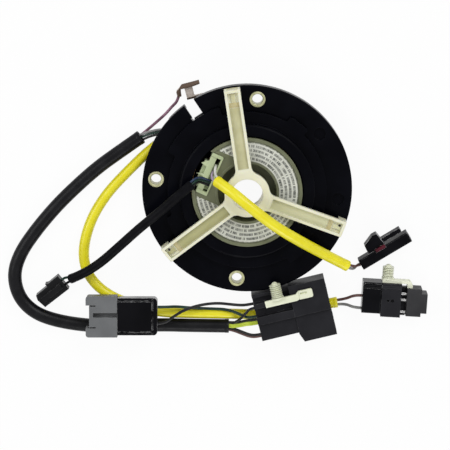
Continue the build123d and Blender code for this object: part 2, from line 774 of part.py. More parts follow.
with BuildPart() as switch_feed_plug:
    with BuildSketch(on_feed) as plug_outline:
        with BuildLine():
            Polyline(
                (feed_lock_length + seat_gap, feed_plug_low),
                (feed_plug_end, feed_plug_low),
                (feed_plug_end, feed_plug_high),
                (feed_lock_length + seat_gap, feed_plug_high),
                close=True,
            )
        make_face()
        fillet(plug_outline.vertices().group_by(Axis.X)[-1], feed_plug_round)
    extrude(amount=feed_height)
    with BuildSketch(on_feed.offset(feed_height)):
        groove_end = feed_plug_end - feed_end_groove
        for side in feed_plug_grooves:
            with Locations((feed_lock_length, side)):
                Rectangle(groove_end - feed_lock_length, feed_groove_width, align=(Align.MIN, Align.CENTER))
        with Locations((groove_end, (feed_plug_low + feed_plug_high) / 2)):
            Rectangle(feed_groove_width, 2 * feed_height)
    extrude(amount=-feed_groove_depth, mode=Mode.SUBTRACT)
save(switch_feed_plug.part, "switch_feed_plug")

# Harness plug, rear half: one cross-section along its whole length
on_harness = placed(harness_corner, harness_bearing)
with BuildPart() as harness_plug_rear:
    section = [(harness_steps[0][0], harness_under)]
    for index, (side, height) in enumerate(harness_steps):
        if index:
            section.append((side, harness_steps[index - 1][1]))
        section.append((side, height))
    section.append((harness_low, harness_steps[-1][1]))
    section.append((harness_low, harness_under))
    with BuildSketch(across(on_harness)):
        with BuildLine():
            Polyline(*section, close=True)
        make_face()
        for near, far in harness_runners:
            with Locations((near, 0)):
                Rectangle(far - near, 2 * harness_under, align=(Align.MIN, Align.MIN))
    extrude(amount=harness_split)
save(harness_plug_rear.part, "harness_plug_rear")

# Harness plug, front half, with its mouth
with BuildPart() as harness_plug_front:
    front_start = harness_split + seat_gap
    with BuildSketch(on_harness.offset(harness_under)):
        with BuildLine():
            Polyline(
                (front_start, harness_front_high),
                (front_start, harness_front_low + 2.5 * harness_flare),
                (front_start + harness_flare, harness_front_low),
                (harness_end, harness_front_low),
                (harness_end, harness_front_high),
                close=True,
            )
        make_face()
    extrude(amount=harness_top - harness_under)
    with BuildSketch(across(on_harness, front_start)):
        for near, far in harness_runners:
            with Locations((near, 0)):
                Rectangle(far - near, 2 * harness_under, align=(Align.MIN, Align.MIN))
    extrude(amount=harness_end - front_start)
    with BuildSketch(on_harness.offset(harness_top)):
        with Locations((0, harness_fold)):
            Rectangle(harness_end, harness_end, align=(Align.MIN, Align.MAX))
    extrude(amount=-harness_fold_drop, mode=Mode.SUBTRACT)
    with BuildSketch(across(on_harness, harness_end)):
        with Locations((harness_front_low + harness_wall, harness_under + harness_wall)):
            mouth_width = harness_front_high - harness_front_low - 2 * harness_wall
            mouth_height = harness_top - harness_fold_drop - harness_under - 2 * harness_wall
            Rectangle(mouth_width, mouth_height, align=(Align.MIN, Align.MIN))
    extrude(amount=-harness_mouth_depth, mode=Mode.SUBTRACT)
save(harness_plug_front.part, "harness_plug_front")


def stud_outline(length):
    """Half section of a fir-tree stud: distance along its axis, then radius."""
    points = [(0, 0), (0, stud_flange_r), (stud_flange, stud_flange_r), (stud_flange, stud_core_r)]
    pitch = (length - 2 * stud_flange) / stud_fins
    for fin in range(stud_fins):
        root = stud_flange + pitch * (fin + 0.4)
        points.append((root, stud_core_r))
        points.append((root, stud_fin_r))
        points.append((root + stud_fin_thickness, stud_fin_r - stud_fin_thickness / 2))
        points.append((root + stud_fin_thickness, stud_core_r))
    points.append((length - stud_flange / 2, stud_core_r))
    points.append((length, stud_core_r / 2))
    points.append((length, 0))
    return points


# Harness clip: a flat tongue on the plug with a fir-tree stud at its side
clip_plane = on_harness.offset(harness_top + seat_gap)
stud_height = harness_top + seat_gap + harness_clip_thickness / 2
stud_base = harness_steps[2][0] + seat_gap
harness_stud_plane = Plane(
    origin=on_harness.from_local_coords((harness_stud_along, stud_base, stud_height)),
    x_dir=on_harness.y_dir,
    z_dir=-on_harness.x_dir,
)
with BuildPart() as harness_clip:
    with BuildSketch(harness_stud_plane):
        with BuildLine():
            Polyline(*stud_outline(harness_stud_length), close=True)
        make_face()
    revolve(axis=Axis(harness_stud_plane.origin, harness_stud_plane.x_dir))
    with BuildSketch(clip_plane):
        with BuildLine():
            Polyline(*harness_clip_outline, close=True)
        make_face()
    extrude(amount=harness_clip_thickness)
save(harness_clip.part, "harness_clip")

# Airbag feed: rear plug with a low bridge under the cover and the socket
on_airbag_feed = placed(airbag_feed_corner, airbag_feed_bearing)


def block(span):
    """Corners of a rectangle given as near, far, low and high."""
    near, far, low, high = span
    return ((near, low), (far, low), (far, high), (near, high))


ridge_near, ridge_far = airbag_feed_ridge
ridge_r = (ridge_far - ridge_near) / 2
with BuildPart() as airbag_feed_plug:
    with BuildSketch(on_airbag_feed):
        with BuildLine():
            Polyline(*block(airbag_feed_plug_span), close=True)
        make_face()
    extrude(amount=airbag_feed_height - airbag_feed_ridge_rise)
    fillet(airbag_feed_plug.edges().group_by(Axis.Z)[-1], edge_round)
    with BuildSketch(across(on_airbag_feed, airbag_feed_ridge_start)):
        with Locations((ridge_near + ridge_r, airbag_feed_height - ridge_r)):
            Circle(ridge_r)
    extrude(amount=airbag_feed_plug_span[1] - airbag_feed_ridge_start)
save(airbag_feed_plug.part, "airbag_feed_plug")

with BuildPart() as airbag_feed_cover:
    with BuildSketch(on_airbag_feed):
        with BuildLine():
            Polyline(*block(airbag_feed_cover_span), close=True)
        make_face()
    extrude(amount=airbag_feed_height - airbag_feed_ridge_rise)
    with BuildSketch(on_airbag_feed):
        near, far, low, high = airbag_feed_cover_span
        with BuildLine():
            Polyline(*block((far, airbag_feed_socket_span[0] - seat_gap, low, airbag_feed_bridge_half)), close=True)
        make_face()
    extrude(amount=airbag_feed_height / 3)
    with BuildSketch(across(on_airbag_feed, airbag_feed_cover_span[0])):
        with Locations((ridge_near + ridge_r, airbag_feed_height - ridge_r)):
            Circle(ridge_r)
    extrude(amount=airbag_feed_cover_span[1] - airbag_feed_cover_span[0])
    with BuildSketch(on_airbag_feed.offset(airbag_feed_height - airbag_feed_ridge_rise)):
        for along, side, radius in feed_dots:
            with Locations((along, side)):
                Circle(radius)
    extrude(amount=-feed_dot_depth, mode=Mode.SUBTRACT)
save(airbag_feed_cover.part, "airbag_feed_cover")

step_length, step_low, step_high = feed_step
with BuildPart() as airbag_feed_socket:
    with BuildSketch(on_airbag_feed):
        near, far, low, high = airbag_feed_socket_span
        with BuildLine():
            Polyline(*block((near, far - step_length, low, high)), close=True)
        make_face()
        with BuildLine():
            Polyline(*block((near, far, step_low, step_high)), close=True)
        make_face()
    extrude(amount=airbag_feed_height - airbag_feed_ridge_rise)
    fillet(airbag_feed_socket.edges().group_by(Axis.Z)[-1], edge_round)
    with BuildSketch(across(on_airbag_feed, airbag_feed_socket_span[1])):
        with Locations(((step_low + step_high) / 2, (airbag_feed_height - airbag_feed_ridge_rise) / 2)):
            mouth_height = airbag_feed_height - airbag_feed_ridge_rise - 2 * plug_wall
            Rectangle(step_high - step_low - 2 * plug_wall, mouth_height)
    extrude(amount=(near - far) / 2, mode=Mode.SUBTRACT)
save(airbag_feed_socket.part, "airbag_feed_socket")

for number, side in enumerate(feed_pin_places, start=1):
    with BuildPart() as feed_pin:
        pin_start = airbag_feed_cover_span[1] + seat_gap
        with BuildSketch(across(on_airbag_feed, pin_start)):
            with Locations((side, feed_pin_height)):
                Rectangle(feed_pin_width, feed_pin_width)
        extrude(amount=airbag_feed_socket_span[0] - seat_gap - pin_start)
    save(feed_pin.part, f"airbag_feed_pin_{number}")

# Strap and fir-tree stud on the feed's side
strap_near = airbag_feed_cover_span[3] + seat_gap
strap_far = strap_near + feed_clip_thickness
socket_side = airbag_feed_socket_span[3] + seat_gap
strap_step = airbag_feed_socket_span[0] - seat_gap
feed_stud_plane = Plane(
    origin=on_airbag_feed.from_local_coords((feed_clip_stud_along, strap_far - seat_gap, feed_clip_height)),
    x_dir=on_airbag_feed.y_dir,
    z_dir=-on_airbag_feed.x_dir,
)
with BuildPart() as airbag_feed_clip:
    with BuildSketch(on_airbag_feed.offset(feed_clip_height - feed_clip_width / 2)):
        with BuildLine():
            Polyline(
                (airbag_feed_cover_span[0], strap_near),
                (strap_step, strap_near),
                (strap_step, socket_side),
                (strap_step + 2 * feed_clip_thickness, socket_side),
                (strap_step + 2 * feed_clip_thickness, socket_side + feed_clip_thickness),
                (strap_step + feed_clip_thickness, strap_far),
                (airbag_feed_cover_span[0], strap_far),
                close=True,
            )
        make_face()
    extrude(amount=feed_clip_width)
    with BuildSketch(feed_stud_plane):
        with BuildLine():
            Polyline(*stud_outline(feed_clip_stud_length), close=True)
        make_face()
    revolve(axis=Axis(feed_stud_plane.origin, feed_stud_plane.x_dir))
save(airbag_feed_clip.part, "airbag_feed_clip")

# Ground clip: sheet with two spring fingers, a lip and a crimped barrel
on_ground_clip = placed(ground_clip_corner, ground_clip_bearing)
with BuildPart() as ground_clip:
    with BuildSketch(on_ground_clip):
        with BuildLine():
            Polyline(*ground_clip_outline, close=True)
        make_face()
    extrude(amount=ground_clip_sheet)
    with BuildSketch(on_ground_clip):
        with Locations(ground_clip_outline[0]):
            Rectangle(ground_clip_sheet, 4 * ground_clip_sheet, align=(Align.MAX, Align.MAX))
    extrude(amount=ground_clip_lip)
    with BuildSketch(across(on_ground_clip)):
        with Locations((0, ground_crimp_r)):
            Circle(ground_crimp_r)
    extrude(amount=ground_crimp_length)
save(ground_clip.part, "ground_clip")

# Cords, each a list of points along its middle
cords = {
    "airbag_lead_sleeve": (6.0, [
        (-16.6, 5.4, 31.2), (-6.5, -1.2, 39.6), (6.0, -9.4, 39.6), (22.0, -20.2, 36.0),
        (38.5, -28.8, 31.0), (52.0, -35.0, 23.0), (60.2, -38.6, 14.6),
    ]),
    "airbag_wire_white": (1.4, [
        (-18.58, 12.57, 21.4), (-18.58, 12.57, 24.7), (-18.9, 10.6, 27.6), (-18.2, 8.1, 29.3),
        (-15.97, 6.54, 31.14),
    ]),
    "airbag_wire_lilac": (1.4, [
        (-19.6, 9.33, 21.4), (-19.6, 9.33, 24.4), (-20.3, 8.0, 27.0), (-19.5, 5.7, 29.3),
        (-17.4, 4.3, 31.05),
    ]),
    "airbag_wire_brown": (1.5, [
        (60.6, -37.74, 14.4), (62.8, -38.7, 11.7), (63.9, -38.9, 9.0), (65.0, -38.4, 7.0),
        (66.2, -37.55, 6.2), (67.46, -36.57, 6.2),
    ]),
    "airbag_wire_grey": (1.5, [
        (60.1, -39.7, 14.5), (62.3, -40.8, 11.9), (63.8, -40.6, 8.0), (64.8, -39.4, 4.8),
        (66.1, -37.65, 3.2), (67.46, -36.57, 3.2),
    ]),
    "switch_lead_sleeve": (5.2, [
        (-31.0, 1.5, 29.2), (-37.5, -5.2, 31.0), (-46.5, -15.3, 29.6), (-56.0, -26.0, 24.5),
        (-66.0, -38.6, 18.5), (-75.5, -50.0, 14.6), (-84.5, -57.4, 13.7), (-90.3, -61.4, 9.4),
    ]),
    "switch_wire_blue": (1.2, [
        (-20.1, 3.93, 23.0), (-23.58, 5.02, 23.0), (-26.8, 5.8, 24.9), (-29.0, 5.13, 27.4),
        (-30.6, 3.83, 28.8), (-31.93, 2.49, 29.15),
    ]),
    "switch_wire_green": (1.2, [
        (-20.49, 2.69, 23.0), (-23.97, 3.78, 23.0), (-26.9, 4.5, 24.9), (-28.6, 3.9, 27.4),
        (-29.65, 2.89, 28.8), (-30.95, 1.55, 29.15),
    ]),
    "switch_wire_grey": (1.2, [
        (-20.88, 1.45, 23.0), (-24.36, 2.54, 23.0), (-27.0, 3.2, 24.9), (-28.2, 2.67, 27.4),
        (-28.7, 1.95, 28.8), (-29.98, 0.61, 29.15),
    ]),
    "switch_plug_wire_a": (1.4, [
        (-89.75, -62.33, 9.37), (-91.0, -63.4, 8.1), (-92.0, -64.4, 6.2), (-92.8, -65.15, 5.0),
        (-93.72, -66.07, 5.0),
    ]),
    "switch_plug_wire_b": (1.4, [
        (-91.05, -60.6, 9.28), (-92.5, -61.3, 8.0), (-94.0, -62.1, 6.2), (-95.1, -63.0, 5.0),
        (-96.02, -63.87, 5.0),
    ]),
    "main_sleeve_yellow": (5.8, [
        (-43.17, 26.69, 3.75), (-47.5, 21.2, 3.75), (-56.0, 13.0, 2.95), (-66.9, -0.4, 2.95),
        (-76.5, -13.4, 2.95), (-83.5, -28.5, 2.95), (-86.2, -44.8, 2.95), (-83.8, -56.6, 2.95),
        (-77.5, -64.8, 2.95), (-67.5, -70.9, 2.95), (-54.5, -74.4, 2.95), (-40.1, -76.6, 2.95),
        (-21.0, -75.0, 2.95), (-1.6, -73.1, 2.95), (13.2, -72.0, 2.95), (27.5, -68.6, 2.95),
        (42.0, -63.9, 2.95), (56.5, -60.1, 2.95),
    ]),
    "main_sleeve_black": (7.6, [
        (-61.4, 20.1, 3.85), (-72.3, 10.5, 3.85), (-82.6, 1.1, 3.85), (-93.4, -10.9, 3.85),
        (-103.5, -23.4, 3.85), (-113.2, -38.1, 3.85), (-120.3, -51.4, 3.85), (-122.9, -63.6, 3.85),
        (-119.5, -75.2, 3.85), (-111.5, -83.2, 3.85), (-100.2, -87.2, 3.85), (-82.0, -88.6, 3.85),
        (-61.5, -87.0, 3.85), (-40.1, -83.5, 3.85), (-21.0, -81.9, 3.85), (-1.9, -80.0, 3.85),
    ]),
    "stator_wire_grey": (1.3, [
        (-44.23, 27.52, 9.3), (-46.32, 24.84, 9.3), (-50.6, 24.9, 8.6), (-56.6, 24.6, 6.0),
        (-60.45, 23.06, 5.0), (-62.38, 21.36, 5.0),
    ]),
    "stator_wire_green": (1.3, [
        (-42.97, 26.53, 9.3), (-45.06, 23.85, 9.3), (-50.2, 23.3, 8.6), (-56.2, 22.9, 6.0),
        (-59.4, 21.86, 5.0), (-61.35, 20.16, 5.0),
    ]),
    "stator_wire_black": (1.3, [
        (-41.71, 25.55, 9.3), (-43.8, 22.87, 9.3), (-49.6, 21.6, 8.6), (-55.6, 21.3, 6.0),
        (-58.35, 20.66, 5.0), (-60.3, 18.95, 5.0),
    ]),
    "ground_wire_pink": (1.6, [
        (-61.76, 20.6, 2.0), (-58.9, 23.3, 1.6), (-53.6, 28.9, 1.0), (-48.7, 34.4, 1.0),
        (-45.6, 39.0, 1.2), (-42.95, 42.3, 1.5), (-42.6, 46.15, 1.5),
    ]),
    "link_wire_green": (1.6, [
        (-41.51, -71.66, 12.02), (-37.0, -71.2, 12.0), (-31.5, -70.9, 9.0), (-23.6, -71.6, 5.6),
        (-12.6, -71.2, 4.2), (-3.0, -70.0, 6.0), (4.8, -71.4, 10.0), (9.1, -72.15, 13.0),
        (13.35, -70.6, 13.0),
    ]),
    "link_wire_black": (1.6, [
        (-40.51, -80.63, 13.19), (-36.6, -80.0, 13.2), (-32.2, -75.8, 12.8), (-26.5, -71.6, 11.6),
        (-18.4, -68.4, 9.6), (-9.0, -66.6, 8.0), (-0.5, -66.2, 9.8), (6.3, -65.18, 13.0),
        (10.79, -63.55, 13.0),
    ]),
    "fan_wire_black": (1.5, [
        (-1.7, -78.2, 4.8), (1.2, -77.5, 6.6), (3.5, -74.9, 10.0), (5.5, -72.0, 13.2),
        (7.2, -69.2, 14.5), (8.7, -66.66, 14.5), (11.54, -65.62, 14.5),
    ]),
    "fan_wire_lime": (1.5, [
        (-1.75, -80.0, 5.4), (1.7, -79.7, 6.0), (5.4, -78.3, 7.6), (8.6, -76.7, 9.6),
        (11.6, -75.85, 11.0), (14.85, -74.77, 11.0),
    ]),
    "fan_wire_brown": (1.5, [
        (-1.6, -81.8, 4.2), (2.0, -82.0, 4.8), (6.4, -82.8, 6.6), (10.8, -83.4, 9.2),
        (14.2, -82.82, 11.0), (17.38, -81.71, 11.0),
    ]),
    "airbag_feed_wire_brown": (1.6, [
        (56.25, -58.94, 2.95), (61.5, -57.5, 3.6), (66.2, -54.11, 6.0), (70.26, -53.9, 6.0),
    ]),
    "airbag_feed_wire_grey": (1.6, [
        (56.85, -61.25, 2.95), (61.7, -60.1, 3.3), (66.4, -61.2, 6.0), (70.64, -60.99, 6.0),
    ]),
}


def corner_radii(points):
    """Largest easy arc at each inner point of a route, from its shorter run and its turn."""
    radii = []
    for before, corner, after in zip(points, points[1:], points[2:]):
        entering = Vector(corner) - Vector(before)
        leaving = Vector(after) - Vector(corner)
        half_turn = math.radians(entering.get_angle(leaving)) / 2
        radii.append(0.45 * min(entering.length, leaving.length) / math.tan(half_turn))
    return radii


for name, (diameter, points) in cords.items():
    radii = corner_radii(points)
    with BuildPart() as cord:
        with BuildLine() as route:
            FilletPolyline(*points, radius=radii)
        with BuildSketch(Plane(origin=points[0], z_dir=Vector(points[1]) - Vector(points[0]))):
            Circle(diameter / 2)
        sweep()
    save(cord.part, name)
    swept = sum(edge.length for edge in route.edges()) * math.pi * diameter**2 / 4
    print(name, "radii", [round(radius, 1) for radius in radii], "volume", round(cord.part.volume / swept, 4))
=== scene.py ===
import math
import bmesh
import bpy
from mathutils import Matrix, Vector


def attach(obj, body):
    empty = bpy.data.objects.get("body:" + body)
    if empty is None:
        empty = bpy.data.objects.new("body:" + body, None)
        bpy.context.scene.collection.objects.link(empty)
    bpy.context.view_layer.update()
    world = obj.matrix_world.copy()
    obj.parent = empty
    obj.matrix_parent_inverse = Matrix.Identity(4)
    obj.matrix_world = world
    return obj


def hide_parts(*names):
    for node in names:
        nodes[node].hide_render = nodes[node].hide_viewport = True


# Clock spring with its harness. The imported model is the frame: nothing of it is moved here.
# Camera, cords, finishes, then the small pieces that are only modelled here, and the studio.
# Lengths are in metres, except where a note says millimetres.

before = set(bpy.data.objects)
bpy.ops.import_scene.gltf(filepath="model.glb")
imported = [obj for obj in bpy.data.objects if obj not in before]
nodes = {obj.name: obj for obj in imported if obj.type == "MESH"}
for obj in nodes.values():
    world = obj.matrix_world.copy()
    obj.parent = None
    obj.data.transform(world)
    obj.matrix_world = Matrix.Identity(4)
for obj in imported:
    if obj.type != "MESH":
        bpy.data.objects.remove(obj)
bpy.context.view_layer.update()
for loaded in bpy.context.selected_objects:
    loaded.select_set(False)

cameraSetup = {
    "target": (-0.012064, -0.019950, 0.014),
    "distance": 1.4,
    "tilt": 11.5,  # degrees off straight down
    "bearing": 6.4,  # degrees, of the part's axes to the view
    "lens": 204.4,  # millimetres
}


def makeCamera():
    lens = bpy.data.cameras.new("benchCamera")
    lens.lens = cameraSetup["lens"]
    eye = bpy.data.objects.new("benchCamera", lens)
    bpy.context.scene.collection.objects.link(eye)
    turn = Matrix.Rotation(math.radians(cameraSetup["bearing"]), 4, "Z")
    tilt = Matrix.Rotation(math.radians(-cameraSetup["tilt"]), 4, "X")
    away = Matrix.Translation((0, 0, cameraSetup["distance"]))
    eye.matrix_world = turn @ Matrix.Translation(cameraSetup["target"]) @ tilt @ away
    bpy.context.scene.camera = eye


makeCamera()
print("camera made")


edgeGain = 5  # how fast an edge's mask rises as the faces there turn


# Shader maths: a socket that takes Python's operators and adds the nodes for them
class Shade:
    def __init__(self, socket, wiring):
        self.socket = socket
        self.wiring = wiring

    def math(self, operation, *values):
        return self.wiring.add("ShaderNodeMath", {"operation": operation}, dict(enumerate(values)))

    def __add__(self, other):
        return self.math("ADD", self, other)

    __radd__ = __add__

    def __sub__(self, other):
        return self.math("SUBTRACT", self, other)

    def __rsub__(self, other):
        return self.math("SUBTRACT", other, self)

    def __mul__(self, other):
        return self.math("MULTIPLY", self, other)

    __rmul__ = __mul__

    def __truediv__(self, other):
        return self.math("DIVIDE", self, other)

    def __lt__(self, other):
        return self.math("LESS_THAN", self, other)

    def __gt__(self, other):
        return self.math("GREATER_THAN", self, other)

    def size(self):
        return self.math("ABSOLUTE", self)

    def root(self):
        return self.math("SQRT", self)

    def floor(self):
        return self.math("FLOOR", self)

    def held(self):
        return self.wiring.add("ShaderNodeClamp", {}, {0: self})

    def within(self, low, high):
        return (self > low) * (self < high)

    def between(self, low, high):
        # a soft step from 0 at low to 1 at high
        smooth = {"interpolation_type": "SMOOTHSTEP"}
        return self.wiring.add("ShaderNodeMapRange", smooth, {0: self, 1: low, 2: high})


# The nodes of one material, or of the world
class Wiring:
    def __init__(self, tree):
        self.tree = tree

    def feed(self, socket, value):
        if isinstance(value, Shade):
            self.tree.links.new(value.socket, socket)
        else:
            socket.default_value = value

    def add(self, kind, settings=None, values=None, out=0):
        node = self.tree.nodes.new(kind)
        for key, value in (settings or {}).items():
            setattr(node, key, value)
        for key, value in (values or {}).items():
            self.feed(node.inputs[key], value)
        if node.outputs:  # the last node has none
            return Shade(node.outputs[out], self)

    def shownRays(self):
        # 1 for rays that show the backdrop: the camera's own, and those through gloss or clear
        rays = self.add("ShaderNodeLightPath").socket.node.outputs
        kinds = ("Camera", "Glossy", "Transmission")
        camera, glossy, clear = (Shade(rays[f"Is {kind} Ray"], self) for kind in kinds)
        return (camera + glossy + clear).held()


# A material, whose patterns follow the piece's own coordinates
class Finish(Wiring):
    def __init__(self, name, **settings):
        self.material = bpy.data.materials.new(name)
        self.material.use_nodes = True
        super().__init__(self.material.node_tree)
        self.tree.nodes.clear()
        self.settings = settings
        self.place = self.add("ShaderNodeTexCoord", out="Object")
        apart = self.add("ShaderNodeSeparateXYZ", {}, {0: self.place})
        self.x, self.y, self.z = (Shade(s, self) for s in apart.socket.node.outputs)

    def noise(self, scale, detail, stretch=(1, 1, 1)):
        spread = self.add("ShaderNodeMapping", {}, {"Vector": self.place, "Scale": stretch})
        values = {"Vector": spread, "Scale": scale, "Detail": detail}
        return self.add("ShaderNodeTexNoise", {}, values)

    def polar(self):
        # distance from the axis, and the angle round it
        return (self.x * self.x + self.y * self.y).root(), self.x.math("ARCTAN2", self.y, self.x)

    def mix(self, amount, first, second):
        # a colour is a link, or plain red, green and blue
        first, second = ((*c, 1) if isinstance(c, tuple) else c for c in (first, second))
        return self.add("ShaderNodeMix", {"data_type": "RGBA"}, {0: amount, 6: first, 7: second}, 2)

    def edges(self, width):
        # 0 on flats, up to 1 along edges within this width
        rounded = self.add("ShaderNodeBevel", {"samples": 6}, {"Radius": width})
        facing = self.add("ShaderNodeNewGeometry", out="Normal")
        dot = {"operation": "DOT_PRODUCT"}
        same = self.add("ShaderNodeVectorMath", dot, {0: rounded, 1: facing}, "Value")
        return rounded, ((1 - same) * edgeGain).held()

    def bump(self, height, depth, normal=None):
        values = {"Strength": 1.0, "Distance": depth, "Height": height}
        if normal is not None:
            values["Normal"] = normal
        return self.add("ShaderNodeBump", {}, values)

    def skin(self, **sockets):
        values = {**self.settings, **sockets}
        values = {socket.replace("_", " "): value for socket, value in values.items()}
        return self.add("ShaderNodeBsdfPrincipled", {}, values)

    def show(self, shader):
        self.add("ShaderNodeOutputMaterial", {}, {"Surface": shader})
        return self.material

    def close(self, **sockets):
        return self.show(self.skin(**sockets))


mouldedMarks = {"flow": 60, "edgeRubOrHighlight": 350, "smear": 140}  # noise scales


def moulded(name, shade, light, rubbedOrHighlight, rough, grain=900, depth=0.00002, edge=0.0004, **settings):
    # moulded plastic: flow marks, fine spark-eroded grain, edges lighter: rubbed wear, and on
    # plugGloss and plugShine a painted highlight along the edges
    finish = Finish(name, **settings)
    flow = finish.noise(mouldedMarks["flow"], 3)
    speck = finish.noise(grain, 2)
    rounded, rim = finish.edges(edge)
    edgeRubOrHighlight = (rim * finish.noise(mouldedMarks["edgeRubOrHighlight"], 3).between(0.35, 0.6)).held()
    colour = finish.mix(flow.between(0.3, 0.7), shade, light)
    # edges lighter: rubbed wear, and on the glossy plugs a painted highlight
    colour = finish.mix(edgeRubOrHighlight, colour, rubbedOrHighlight)
    smear = finish.noise(mouldedMarks["smear"], 4, (1, 0.35, 1)).between(0.35, 0.75)
    return finish.close(
        Base_Color=colour,
        Roughness=rough + 0.12 * smear + 0.08 * (speck - 0.5),
        Normal=finish.bump(speck, depth, rounded),
    )


vinylMarks = {"cloud": 180, "fine": 1500, "creases": 120, "smear": 260, "depth": 0.0003}


def vinyl(name, shade, light, rough, wrinkle=0.0, **settings):
    # soft drawn tube or wire cover: faint creases from drawing, handling marks
    finish = Finish(name, **settings)
    cloud = finish.noise(vinylMarks["cloud"], 3)
    fine = finish.noise(vinylMarks["fine"], 2)
    creases = finish.noise(vinylMarks["creases"], 3, (1.0, 1.0, 3.0))
    colour = finish.mix(cloud.between(0.3, 0.72), shade, light)
    smear = finish.noise(vinylMarks["smear"], 3).between(0.4, 0.75)
    return finish.close(
        Base_Color=colour,
        Roughness=rough + 0.14 * smear,
        Normal=finish.bump(fine * 0.12 + creases * wrinkle + cloud * 0.2, vinylMarks["depth"]),
    )


brushedMarks = {"lines": 700, "spots": 400, "edge": 0.0003, "depth": 0.00004}


def brushed(name, shade, light, rough, metal=1.0, shadedAbove=None):
    # plated or rolled metal: fine drag lines, dull spots
    # an optional span of heights, and a darker colour above it: painted shade on the clip's rolled
    # arms
    finish = Finish(name, Metallic=metal)
    lines = finish.noise(brushedMarks["lines"], 3)
    spots = finish.noise(brushedMarks["spots"], 4)
    rounded, rim = finish.edges(brushedMarks["edge"])
    colour = finish.mix(spots.between(0.35, 0.7), shade, light)
    colour = finish.mix(rim, colour, tuple(min(1, 1.2 * c) for c in light))
    # painted shade: darker above the given heights
    if shadedAbove:
        low, high, paintedShadeTone = shadedAbove
        colour = finish.mix(finish.z.between(low, high), colour, paintedShadeTone)
    return finish.close(
        Base_Color=colour,
        Roughness=rough + 0.2 * spots.between(0.4, 0.8) + 0.06 * lines,
        Normal=finish.bump(lines * 0.5 + spots * 0.3, brushedMarks["depth"], rounded),
    )


